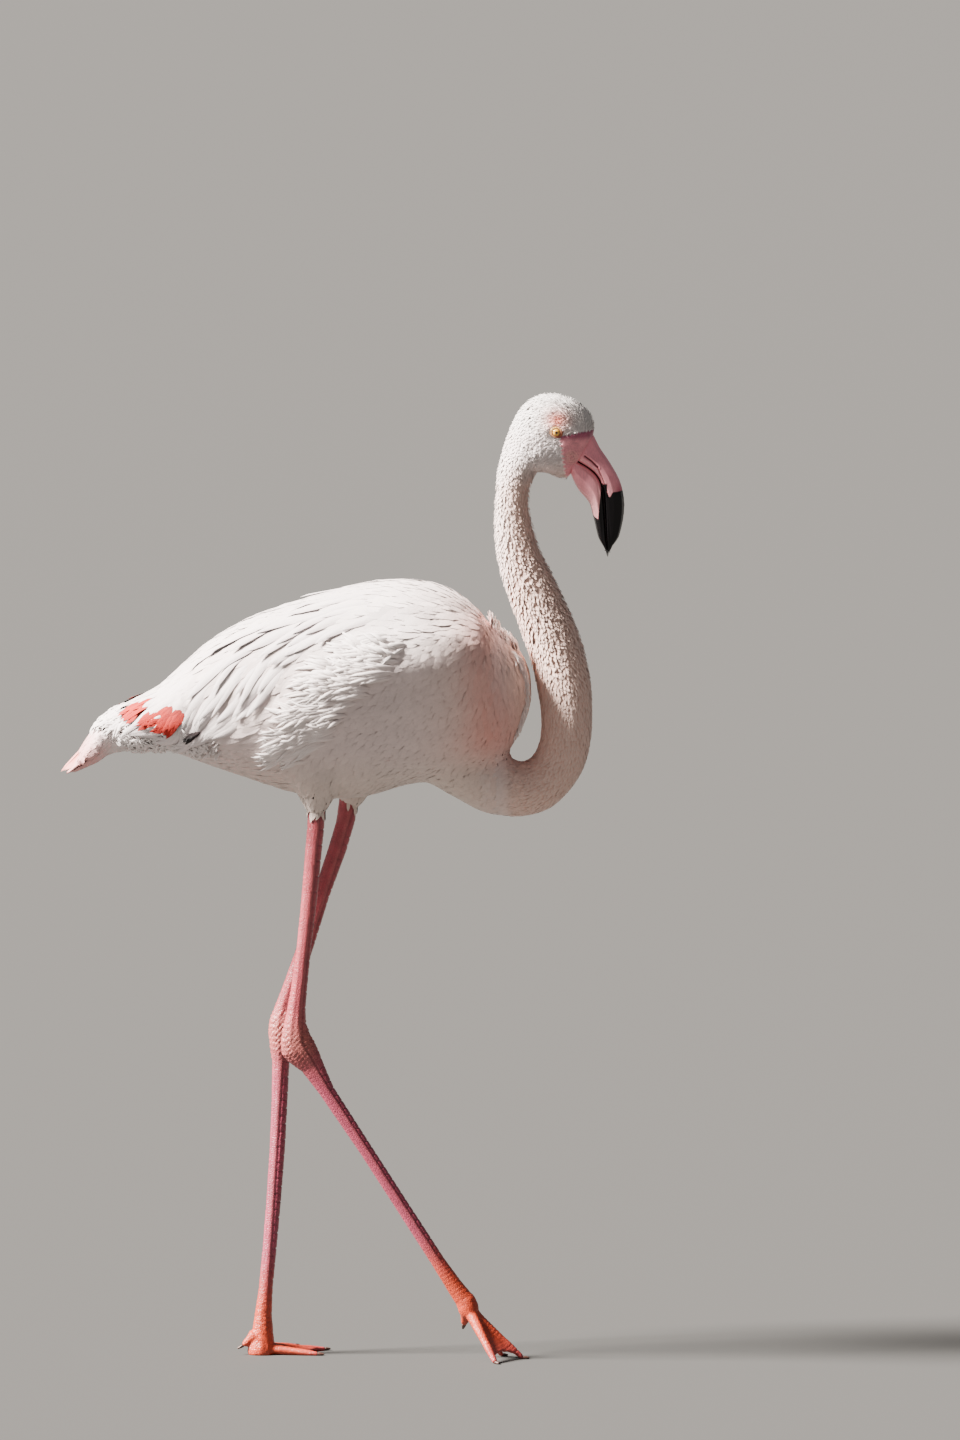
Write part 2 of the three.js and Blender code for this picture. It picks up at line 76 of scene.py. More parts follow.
# ------------------------------------------------------------------ skin of trunk, neck and head
# Thin skin over the flesh, hidden under the coat and lying inside it by the coat's depth. It is
# made from copies of the solids, fused, smoothed and drawn in. The neck's shell is apart from the
# trunk's, so that the neck stays clear of the breast where it passes in front of it.
def joined_copy(names, grow):
    """A bmesh of these nodes' solids, each made larger all round by grow."""
    made = bmesh.new()
    for name in names:
        piece = bmesh.new()
        piece.from_mesh(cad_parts[name].data)
        bmesh.ops.remove_doubles(piece, verts=piece.verts, dist=1e-5)
        piece.normal_update()
        for vert in piece.verts:
            vert.co += vert.normal * grow
        passing = bpy.data.meshes.new("passing")
        piece.to_mesh(passing)
        piece.free()
        made.from_mesh(passing)
        bpy.data.meshes.remove(passing)
    return made


def new_object(name, made):
    """A linked object from a bmesh, which is freed."""
    mesh = bpy.data.meshes.new(name)
    made.to_mesh(mesh)
    made.free()
    mesh.shade_smooth()
    return link_object(name, mesh)


def apply_modifiers(piece):
    """Keeps what the modifiers make as the object's own mesh."""
    graph = bpy.context.evaluated_depsgraph_get()
    finished = bpy.data.meshes.new_from_object(piece.evaluated_get(graph))
    piece.modifiers.clear()
    old = piece.data
    piece.data = finished
    bpy.data.meshes.remove(old)


def fuse(name, made, voxel, rounds):
    """The solids as one smooth closed surface."""
    piece = new_object(name, made)
    remesh = piece.modifiers.new("fuse", "REMESH")
    remesh.mode = "VOXEL"
    remesh.voxel_size = voxel
    remesh.use_smooth_shade = True
    even = piece.modifiers.new("even", "SMOOTH")
    even.factor = 0.5
    even.iterations = rounds
    apply_modifiers(piece)
    return piece


def points_of(mesh):
    flat = np.empty(len(mesh.vertices) * 3)
    mesh.vertices.foreach_get("co", flat)
    return flat.reshape(-1, 3)


def normals_of(mesh):
    flat = np.empty(len(mesh.vertices) * 3)
    mesh.vertex_normals.foreach_get("vector", flat)
    return flat.reshape(-1, 3)


def move_points(mesh, points):
    mesh.vertices.foreach_set("co", points.ravel())
    mesh.update()


def ramp(low, high, value):
    """0 up to low, 1 from high on, and a smooth rise between."""
    t = np.clip((value - low) / (high - low), 0.0, 1.0)
    return t * t * (3.0 - 2.0 * t)


def hump(middle, reach, value):
    """1 at the middle, falling to nothing a few reaches away."""
    return np.exp(-(((value - middle) / reach) ** 2))


def blend(low, high, share):
    """From one row of colours to another, by a share for each row."""
    return low + (np.asarray(high) - low) * np.asarray(share)[:, None]


TRUNK_NODES = ["trunk", "wing_left", "wing_right", "thigh_left", "thigh_right", "neck_base"]
trunk_copy = joined_copy([*TRUNK_NODES, "neck_bend", "tail"], grow=0.0006)
trunk_skin = fuse("trunk_skin", trunk_copy, voxel=0.0042, rounds=12)
neck_copy = joined_copy(["neck_bend", "neck_middle", "neck_top"], grow=0.0004)
neck_skin = fuse("neck_skin", neck_copy, voxel=0.003, rounds=8)
head_copy = joined_copy(["head", "neck_top"], grow=0.0004)
head_skin = fuse("head_skin", head_copy, voxel=0.0014, rounds=12)

EYE_CENTRE = np.array([0.2386, 0.0222, 1.043])
MOUTH_CORNER = (0.2555, 1.0145)
FACE_EDGE = 0.0006
HEAD_DEPTH, NECK_DEPTH, BODY_DEPTH, BACK_DEPTH = 0.0014, 0.0016, 0.0024, 0.0036


def off_from(points, place):
    """Seen from the side: how far ahead of a place and above it each point is, and how far off."""
    ahead, above = points[:, 0] - place[0], points[:, 2] - place[-1]
    return ahead, above, np.hypot(ahead, above)


def bare_face(points):
    """1 on the naked skin between the eye and the bill, 0 on the feathered head."""
    x, z = points[:, 0], points[:, 2]
    cheek_edge = 0.2425 + (1.036 - z) * 0.16 + 0.0013 * np.sin(z * 1300) + 0.0008 * np.sin(z * 3700 + 1)
    brow_edge = 1.0385 + (x - 0.243) * 0.16 + 0.0007 * np.sin(x * 1700) + 0.0005 * np.sin(x * 4100)
    return ramp(-FACE_EDGE, FACE_EDGE, x - cheek_edge) * ramp(-FACE_EDGE, FACE_EDGE, brow_edge - z)


def scapular_edge(x):
    """The height at which the long shoulder feathers end over the flank, along the body."""
    line_x = [-0.26, -0.240, -0.180, -0.172, -0.155, -0.09, -0.05, -0.02, 0.02, 0.11, 0.17]
    line_z = [0.728, 0.738, 0.732, 0.712, 0.702, 0.712, 0.757, 0.790, 0.803, 0.818, 0.832]
    return np.interp(x, line_x, line_z)


def coat_depth(points, shell):
    """How far the skin lies inside the tips of the feathers."""
    x, z = points[:, 0], points[:, 2]
    if shell == "head":
        return HEAD_DEPTH * (1.0 - bare_face(points)) + 0.0010 * ramp(1.0, 0.985, z)
    if shell == "neck":
        return NECK_DEPTH + 0.0010 * ramp(0.70, 0.80, z)
    back = ramp(-0.01, 0.03, z - scapular_edge(x))
    thin = np.maximum(ramp(0.645, 0.620, z) * ramp(0.09, 0.06, x), ramp(-0.262, -0.275, x))
    return (BODY_DEPTH + BACK_DEPTH * back) * (1.0 - 0.4 * thin)


def mouth_creases(points):
    """Waves in the skin round the corner of the mouth, and the distance from the corner."""
    ahead, above, corner = off_from(points, MOUTH_CORNER)
    return np.sin(corner * 2300 + 1.4 * np.sin(np.arctan2(above, ahead) * 3)), corner


for shell, piece in (("trunk", trunk_skin), ("neck", neck_skin), ("head", head_skin)):
    points = points_of(piece.data)
    depth = coat_depth(points, shell)
    move_points(piece.data, points - normals_of(piece.data) * depth[:, None])

# Creases in the naked skin run back from the corner of the mouth. The brow bulges round the eye,
# and the skin is hollowed under the eye itself.
CREASE_DEPTH = 0.0011
BROW_RISE = 0.0008
SOCKET_DEPTH = 0.0022
points = points_of(head_skin.data)
crease, corner = mouth_creases(points)
_, above, from_eye = off_from(points, EYE_CENTRE)
on_side = ramp(0.012, 0.02, np.abs(points[:, 1]))
depth = -CREASE_DEPTH * bare_face(points) * np.maximum(crease, 0) ** 2 * hump(0.0, 0.013, corner)
depth += on_side * (BROW_RISE * hump(0.0085, 0.0035, from_eye) * ramp(-0.006, 0.006, above))
depth -= on_side * SOCKET_DEPTH * ramp(0.0062, 0.0040, from_eye)
move_points(head_skin.data, points + normals_of(head_skin.data) * depth[:, None])


# ------------------------------------------------------------------ eyelids
# A thin naked ring of orange skin round each eye, with a fold above and below. It grows out of
# the face and lies against the ball of the eye.
LID_STEPS = 44
LID_PROFILE = [(0.0040, 0.0040), (0.0043, 0.0048), (0.0050, 0.0051), (0.0056, 0.0046), (0.0061, 0.0048),
               (0.0066, 0.0042), (0.0072, 0.0026), (0.0077, 0.0004), (0.0060, -0.0010), (0.0036, 0.0020)]
LID_REACH = 0.0086
LID_STRETCH = 0.14
LID_FOLD = 0.00018
# Painted light and shade: the lids are yellower on top, where the light falls, and darker at the front
# corner.
LID_ORANGE, LID_LIT_YELLOW = (0.86, 0.42, 0.20), (0.92, 0.56, 0.16)
LID_RIM, LID_CORNER_SHADE = (0.30, 0.05, 0.02), (0.36, 0.07, 0.03)
lids = bmesh.new()
for side in (-1, 1):
    ring = []
    for radius, rise in LID_PROFILE:
        place = (EYE_CENTRE[0] + radius, side * (EYE_CENTRE[1] + rise), EYE_CENTRE[2])
        ring.append(lids.verts.new(place))
    edges = [lids.edges.new((ring[i], ring[(i + 1) % len(ring)])) for i in range(len(ring))]
    bmesh.ops.spin(lids, geom=ring + edges, cent=(EYE_CENTRE[0], 0, EYE_CENTRE[2]), axis=(0, 1, 0),
                   angle=2 * math.pi, steps=LID_STEPS, use_merge=True)
bmesh.ops.recalc_face_normals(lids, faces=lids.faces)
for vert in lids.verts:
    along, up = vert.co.x - EYE_CENTRE[0], vert.co.z - EYE_CENTRE[2]
    angle = math.atan2(up, along)
    outer = math.hypot(along, up) / LID_REACH
    corner_pull = 1.0 + LID_STRETCH * math.cos(2 * angle + 0.5) * outer
    vert.co.x = EYE_CENTRE[0] + along * corner_pull
    vert.co.z = EYE_CENTRE[2] + up * corner_pull
    vert.co.y += math.copysign(LID_FOLD * math.sin(9 * angle) * outer, vert.co.y)
eyelid_skin = new_object("eyelid_skin", lids)


def all_over(colour, points):
    """One row of this colour for each point."""
    return np.tile(colour, (len(points), 1))


def lid_colour_light_and_shade(points):
    """Orange skin, yellower above as painted light, dark against the eye, and darker at its front corner as
    painted shade.
    """
    ahead, above, from_eye = off_from(points, EYE_CENTRE)
    colouring = blend(all_over(LID_ORANGE, points), LID_LIT_YELLOW, 0.8 * ramp(0.001, 0.006, above - 0.3 * ahead))
    colouring = blend(colouring, LID_RIM, ramp(0.0052, 0.0044, from_eye))
    return blend(colouring, LID_CORNER_SHADE, 0.85 * ramp(0.001, 0.005, ahead - above - 0.001))


# ------------------------------------------------------------------ skin of legs and feet
# Bare, scaly skin: rose on the shank, knobbly and tan at the ankle, mauve on the long tarsus and
# glossy orange-red on the foot. Plates lie in a row down the front, and tendons show at the sides;
# the grooves between them carry painted shade and the tendons a painted highlight.
LEG_NODES = [f"{part}_{side}" for part in ("shank", "ankle", "tarsus", "foot") for side in ("left", "right")]
LEG_AXES = {
    -1: np.array([(-0.029, -0.040, 0.617), (-0.052, -0.030, 0.357), (0.138, -0.024, 0.062)]),
    1: np.array([(0.008, 0.040, 0.618), (-0.070, 0.028, 0.361), (-0.091, 0.014, 0.016)]),
}
LEG_FRONT = {-1: ((0.995, 0.08), (0.836, 0.548)), 1: ((0.957, -0.29), (1.0, -0.06))}
TOE_JOINTS = {-1: np.array([0.142, -0.024, 0.054]), 1: np.array([-0.094, 0.014, 0.0075])}
BETWEEN_LEGS = -0.006
PLATE, TOE_PLATE = 0.0088, 0.0046
PLATE_GROOVE, TENDON_GROOVE, BACK_GROOVE, TOE_GROOVE = 0.0010, 0.0008, 0.0004, 0.00035
KNOB_RISE = 0.0014
SOLE = 0.004
SHANK_TOP = 0.600
SHANK_INSIDE = 1.2
leg_skin = fuse("leg_skin", joined_copy(LEG_NODES, grow=0.0004), voxel=0.00135, rounds=6)


def leg_places(points):
    """Along the leg from the hip, the angle round it from the front, and how far ankle and toe are."""
    count = len(points)
    along, angle, ankle, toe = np.zeros(count), np.zeros(count), np.zeros(count), np.zeros(count)
    for side, axis in LEG_AXES.items():
        own = (points[:, 1] > BETWEEN_LEGS) if side == 1 else (points[:, 1] <= BETWEEN_LEGS)
        p = points[own]
        best = np.full(len(p), np.inf)
        s, a = np.zeros(len(p)), np.zeros(len(p))
        far = 0.0
        for start, end, (fx, fz) in zip(axis[:-1], axis[1:], LEG_FRONT[side]):
            step = end - start
            size = np.linalg.norm(step)
            share = ((p - start) @ step) / size**2
            off = p - (start + np.clip(share, 0, 1)[:, None] * step)
            gap = np.linalg.norm(off, axis=1)
            closer = gap < best
            turn = np.arctan2(off[:, 1] * side, off[:, 0] * fx + off[:, 2] * fz)
            s[closer], a[closer], best[closer] = (far + share * size)[closer], turn[closer], gap[closer]
            far += size
        along[own], angle[own] = s, a
        ankle[own] = np.linalg.norm(p - axis[1], axis=1)
        toe[own] = np.linalg.norm(p - TOE_JOINTS[side], axis=1)
    return along, angle, ankle, toe


def leg_relief(points):
    """How far plates, tendons, knobs and folds stand off the leg, in metres, and the grooves."""
    along, angle, ankle, toe = leg_places(points)
    foot = ramp(0.085, 0.045, toe)
    near_ankle = hump(0.0, 0.026, ankle)
    wave = np.abs(np.sin(np.pi * along / PLATE))
    front = ramp(1.15, 0.75, np.abs(angle))
    plate = ramp(0.30, 0.0, wave) * front * (1 - foot) * (1 - near_ankle)
    seam = (hump(1.0, 0.11, np.abs(angle)) + 0.45 * hump(2.0, 0.16, np.abs(angle))) * (1 - foot)
    back_wave = np.abs(np.sin(np.pi * along / (PLATE * 0.6) + 2.0))
    back_plate = ramp(0.30, 0.0, back_wave) * ramp(2.1, 2.5, np.abs(angle)) * (1 - foot)
    toe_wave = np.abs(np.sin(np.pi * toe / TOE_PLATE))
    toe_plate = ramp(0.35, 0.0, toe_wave) * foot * ramp(0.008, 0.016, toe)
    groove = np.clip(plate + 0.8 * back_plate + 0.8 * toe_plate + 0.9 * seam, 0, 1)
    relief = -PLATE_GROOVE * plate - TENDON_GROOVE * seam - BACK_GROOVE * back_plate - TOE_GROOVE * toe_plate
    x, y, z = points.T
    knobs = np.sin(x * 1100) * np.sin(z * 980 + 1) * np.sin(y * 1050 + 2)
    knobs += 0.5 * np.sin(x * 2100 + 2) * np.sin(z * 1900) * np.sin(y * 2000)
    return relief + near_ankle * KNOB_RISE * knobs, groove, foot, near_ankle


points = points_of(leg_skin.data)
relief = leg_relief(points)[0]
# The soles stay flat where they rest on the floor.
relief = np.where(points[:, 2] < SOLE, 0.0, relief)
settled = points + normals_of(leg_skin.data) * relief[:, None]
settled[:, 2] = np.maximum(settled[:, 2], 0.0)
# The bare shank runs on up inside the feathered thigh.
settled[:, 2] += SHANK_INSIDE * np.maximum(settled[:, 2] - SHANK_TOP, 0.0)
move_points(leg_skin.data, settled)

SHANK_ROSE, TARSUS_MAUVE = (0.46, 0.072, 0.092), (0.40, 0.058, 0.105)
ANKLE_TAN, FOOT_ORANGE = (0.50, 0.165, 0.125), (0.56, 0.060, 0.020)
# Painted highlight and shade: a paler rose along the tendons, and wine red in the grooves.
TENDON_HIGHLIGHT_ROSE, GROOVE_SHADE_WINE = (0.58, 0.16, 0.155), (0.17, 0.015, 0.03)


def leg_colour_highlight_and_shade(points):
    """The colour of the bare leg from its place, with a painted highlight on the tendons and painted shade
    in the grooves.
    """
    along, angle, _, toe = leg_places(points)
    _, groove, foot, near_ankle = leg_relief(points)
    colouring = blend(all_over(SHANK_ROSE, points), TARSUS_MAUVE, ramp(0.24, 0.34, along))
    colouring = blend(colouring, ANKLE_TAN, 0.75 * near_ankle)
    colouring = blend(colouring, FOOT_ORANGE, ramp(0.115, 0.035, toe))
    tendon = hump(1.35, 0.22, np.abs(angle)) * (1 - foot)
    # Painted highlight along the tendons, then painted shade in the grooves.
    colouring = blend(colouring, TENDON_HIGHLIGHT_ROSE, 0.3 * tendon)
    return blend(colouring, GROOVE_SHADE_WINE, 0.5 * groove)


# ------------------------------------------------------------------ head coat
# The shortest feathers of all, velvety and white with a rosy flush over the eye. They are small
# closed blades of one shaft and two vanes, and grow from the skin all over the head, from the
# face backwards, except on the naked skin before the eye.
WHITE, CROWN_WHITE = (0.930, 0.820, 0.800), (0.93, 0.87, 0.84)
BLUSH, SALMON_AND_GLOW = (0.90, 0.580, 0.475), (0.86, 0.40, 0.34)
# Painted light and shade: a grey for the lower flank where it turns from the light, and a buff for warm
# light thrown up onto the belly.
FLANK_SHADE_GREY, BELLY_BOUNCE_BUFF = (0.84, 0.675, 0.640), (0.80, 0.66, 0.57)
EYE_FLUSH, TAIL_ROSE = (0.86, 0.25, 0.18), (0.88, 0.43, 0.41)


def plumage_colour_light_and_shade(points):
    """The plumage's colour from its place on the bird, with painted shade on the lower flank, painted bounce
    light on the belly and a painted glow in the breast's salmon. Skin and feathers share it.
    """
    x, y, z = points.T
    # Painted shade: the lower flank is greyed.
    colouring = blend(all_over(WHITE, points), FLANK_SHADE_GREY, 0.8 * ramp(0.83, 0.76, z) * ramp(-0.20, -0.12, x))
    neck = 0.9 * ramp(0.165, 0.20, x) * ramp(1.02, 0.97, z)
    colouring = blend(colouring, BLUSH, neck + 0.5 * ramp(0.05, 0.17, x) * (x < 0.165))
    # A salmon band goes down the front of the breast, wider and further forward below: the feathers' own
    # salmon, painted stronger as the glow of light shining through them.
    wide = 0.024 + 0.014 * ramp(0.80, 0.68, z)
    band = np.exp(-(((x - 0.154 - 0.014 * ramp(0.80, 0.70, z)) / wide) ** 2)) * ramp(0.655, 0.70, z)
    band *= ramp(0.885, 0.83, z) * (x < 0.214) * (0.80 + 0.35 * ramp(0.78, 0.70, z))
    streak = 0.5 + 0.5 * np.sin(x * 520 + 3 * np.sin(z * 60) + y * 40)
    colouring = blend(colouring, SALMON_AND_GLOW, np.clip(band * (0.74 + 0.16 * streak), 0, 1))
    # Painted bounce light: the underside of the belly is warmed to buff.
    colouring = blend(colouring, BELLY_BOUNCE_BUFF, 0.7 * (ramp(0.70, 0.64, z) * ramp(0.19, 0.13, x)))
    colouring = blend(colouring, CROWN_WHITE, 0.85 * ramp(1.030, 1.055, z))
    flush = hump(0.2395, 0.0135, x) * hump(1.0560, 0.0115, z) * ramp(0.008, 0.016, np.abs(y))
    colouring = blend(colouring, EYE_FLUSH, 0.95 * flush)
    return blend(colouring, TAIL_ROSE, ramp(-0.266, -0.290, x + 0.4 * (z - 0.70)))


def surface_of(*pieces):
    """The skins' triangles, and a tree that finds the nearest point on them."""
    made = bmesh.new()
    for piece in pieces:
        made.from_mesh(piece.data)
    bmesh.ops.triangulate(made, faces=made.faces)
    return BVHTree.FromBMesh(made), made


def tangent(way, out):
    """The part of a direction that lies in the surface, as a unit vector."""
    flat = way - out * (way * out).sum(1)[:, None]
    return flat / np.maximum(np.linalg.norm(flat, axis=1), 1e-9)[:, None]


def lay(points, out, guides):
    """The way the coat lies. A guide is (x, z, degrees) seen from the right, 180 towards the tail."""
    guide = np.array(guides)
    dx = points[:, None, 0] - guide[None, :, 0]
    dz = points[:, None, 2] - guide[None, :, 1]
    weight = 1.0 / (dx * dx + dz * dz + 1e-5) ** 2
    angle = np.radians(guide[:, 2])
    way = np.zeros_like(points)
    way[:, 0] = (weight * np.cos(angle)).sum(1) / weight.sum(1)
    way[:, 2] = (weight * np.sin(angle)).sum(1) / weight.sum(1)
    return tangent(way, out)


def nearest(tree, points):
    """The nearest points of the skin and the way out of it there."""
    found = [tree.find_nearest(Vector(p))[:2] for p in points]
    return np.array([f[0] for f in found]), np.array([f[1] for f in found])


CROWDING = 6


def scatter(surface, spacing, keep, seed):
    """Points on the skin at least a spacing apart, where keep(points, out) is true."""
    corners = np.array([[v.co for v in face.verts] for face in surface.faces])
    edge_a, edge_b = corners[:, 1] - corners[:, 0], corners[:, 2] - corners[:, 0]
    cross = np.cross(edge_a, edge_b)
    area = np.linalg.norm(cross, axis=1) / 2
    out = cross / np.maximum(2 * area, 1e-15)[:, None]
    share = np.where(keep(corners.mean(1), out), area, 0.0)
    rng = np.random.default_rng(seed)
    count = int(share.sum() / spacing**2 * CROWDING)
    chosen = rng.choice(len(area), size=count, p=share / share.sum())
    a, b = rng.random(count), rng.random(count)
    flip = a + b > 1
    a[flip], b[flip] = 1 - a[flip], 1 - b[flip]
    tries = corners[chosen, 0] + edge_a[chosen] * a[:, None] + edge_b[chosen] * b[:, None]
    cells, kept = {}, []
    around = [(i, j, k) for i in (-1, 0, 1) for j in (-1, 0, 1) for k in (-1, 0, 1)]
    cell_of = np.floor(tries / spacing).astype(int).tolist()
    for index, (point, (cx, cy, cz)) in enumerate(zip(tries.tolist(), cell_of)):
        near = [other for i, j, k in around for other in cells.get((cx + i, cy + j, cz + k), ())]
        if all(math.dist(point, other) >= spacing for other in near):
            cells.setdefault((cx, cy, cz), []).append(point)
            kept.append(index)
    return tries[kept], out[chosen[kept]]


def shafts(tree, roots, out, lengths, rows, guides, yaw, sway=0.0):
    """Each feather's shaft as rows of points along the skin, with the way out at each."""
    path, outs, turn = [roots], [out], yaw
    step = (lengths / (rows - 1))[:, None]
    for _ in range(rows - 1):
        way = lay(path[-1], outs[-1], guides)
        way = way * np.cos(turn)[:, None] + np.cross(outs[-1], way) * np.sin(turn)[:, None]
        point, normal = nearest(tree, path[-1] + way * step)
        path.append(point)
        outs.append(normal)
        turn = turn + sway
    return np.stack(path, 1), np.stack(outs, 1)


def blade_faces(rows, columns):
    """Faces of one feather: a point at the root, rows of columns, and a point at the tip."""
    tip = 1 + rows * columns
    top = [(0, 1 + c + 1, 1 + c) for c in range(columns - 1)]
    under = [(0, 1, columns)]
    for first in range(1, tip - columns, columns):
        last = first + columns - 1
        for left in range(first, last):
            top.append((left, left + 1, left + 1 + columns, left + columns))
        under.append((last, first, first + columns, last + columns))
    first = tip - columns
    top += [(first + c, first + c + 1, tip) for c in range(columns - 1)]
    under.append((tip - 1, first, tip))
    return top, under


BAKE_CELL = 0.0034
BAKE_PATCH = 0.0029
BAKE_SPAN = 0.94
BAKE_MARGIN = 0.03
STIR = 0.045
STEEPEST = 0.7
FOLD_LIMIT = 0.6
LEAN_LIMIT = 0.55
PACE_LIMIT = 0.25
TWIST_ROOM = 0.6
TALLEST_SHAFT = 0.0025
VANE_ARCH = 1.6
VANE_ROLL = 0.6
UNEVEN_TONE = 0.07


def beside_line(points, line):
    """For a line in the side view: the distance from it, how far along it, and how far in front."""
    flat, line = points[:, [0, 2]], np.asarray(line)
    best = np.full(len(points), np.inf)
    along, front = np.zeros(len(points)), np.zeros(len(points))
    far = 0.0
    for start, end in zip(line[:-1], line[1:]):
        step = end - start
        size = np.linalg.norm(step)
        share = np.clip(((flat - start) @ step) / size**2, 0, 1)
        off = flat - (start + share[:, None] * step)
        gap = np.linalg.norm(off, axis=1)
        closer = gap < best
        best[closer] = gap[closer]
        along[closer] = (far + share * size)[closer]
        front[closer] = (off @ np.array([-step[1], step[0]]) / size)[closer]
        far += size
    return best, along, front


def bake_places(roots, spine):
    """A place on an unwrap for each root, along a spine and around it, with no two in one cell."""
    _, along, front = beside_line(roots, spine)
    place = np.stack([along, np.arctan2(roots[:, 1], front)], 1)
    order = place.argsort(0).argsort(0) / max(len(roots) - 1, 1)
    low, high = place.min(0), place.max(0)
    place = 0.5 * order + 0.5 * (place - low) / np.maximum(high - low, 1e-9)
    last = int(BAKE_SPAN / BAKE_CELL)
    cells = np.round(place * last).astype(int).tolist()
    taken = set()
    for index, home in enumerate(cells):
        # A taken cell sends the feather on a growing spiral round its home, until one is free.
        spot, ring = tuple(home), 0
        while spot in taken:
            ring += 1
            reach = 0.8 * math.sqrt(ring)
            u = home[0] + round(math.cos(2.4 * ring) * reach)
            v = home[1] + round(math.sin(2.4 * ring) * reach)
            spot = (min(max(u, 0), last), min(max(v, 0), last))
        taken.add(spot)
        place[index] = [(step + 0.5) * BAKE_CELL + BAKE_MARGIN for step in spot]
    return place


def unfolded(path, outs):
    """Which way each feather runs, and which ones don't fold over where two forms meet."""
    forward = np.gradient(path, axis=1)
    forward /= np.maximum(np.linalg.norm(forward, axis=2), 1e-9)[:, :, None]
    pace = np.linalg.norm(np.diff(path, axis=1), axis=2)
    sound = ((outs[:, 1:] * outs[:, :-1]).sum(2) > FOLD_LIMIT).all(1)
    sound &= (np.abs((forward * outs).sum(2)) < LEAN_LIMIT).all(1)
    sound &= pace.min(1) > PACE_LIMIT * pace.max(1)
    return forward, sound


def shaft_room(vanes, outs, thick):
    """How much higher a shaft stands where its feather twists, to keep the underside beneath."""
    chord, level = vanes[:, :, -1] - vanes[:, :, 0], (outs[:, 1:-2] + outs[:, 2:-1]) / 2
    twist = np.abs(((chord[:, :-1] - chord[:, 1:]) * level).sum(2))
    short = (TWIST_ROOM * twist - thick).clip(0.0)
    need = np.concatenate([short, short[:, -1:]], 1)
    need[:, 1:-1] = np.maximum(short[:, :-1], short[:, 1:])
    return need.clip(0.0, TALLEST_SHAFT)


def feather_mesh(name, points, faces):
    """One mesh that repeats a feather's faces for every row of points, and its face corners."""
    count, per = points.shape[:2]
    loops = np.array([corner for face in faces for corner in face])
    sizes = np.array([len(face) for face in faces])
    starts = np.concatenate([[0], np.cumsum(sizes)[:-1]])
    mesh = bpy.data.meshes.new(name)
    mesh.vertices.add(count * per)
    mesh.vertices.foreach_set("co", points.ravel())
    every = (np.arange(count) * per)[:, None] + loops[None, :]
    mesh.loops.add(every.size)
    mesh.loops.foreach_set("vertex_index", every.ravel())
    every = (np.arange(count) * len(loops))[:, None] + starts[None, :]
    mesh.polygons.add(every.size)
    mesh.polygons.foreach_set("loop_start", every.ravel())
    mesh.update(calc_edges=True)
    mesh.shade_smooth()
    return mesh, loops, sizes


def paint(mesh, name, colours):
    """Writes one colour, or one number, to each point of a mesh."""
    rgba = np.ones((len(mesh.vertices), 4))
    rgba[:, :3] = colours if colours.ndim == 2 else colours[:, None]
    mesh.color_attributes.new(name, "FLOAT_COLOR", "POINT").data.foreach_set("color", rgba.ravel())


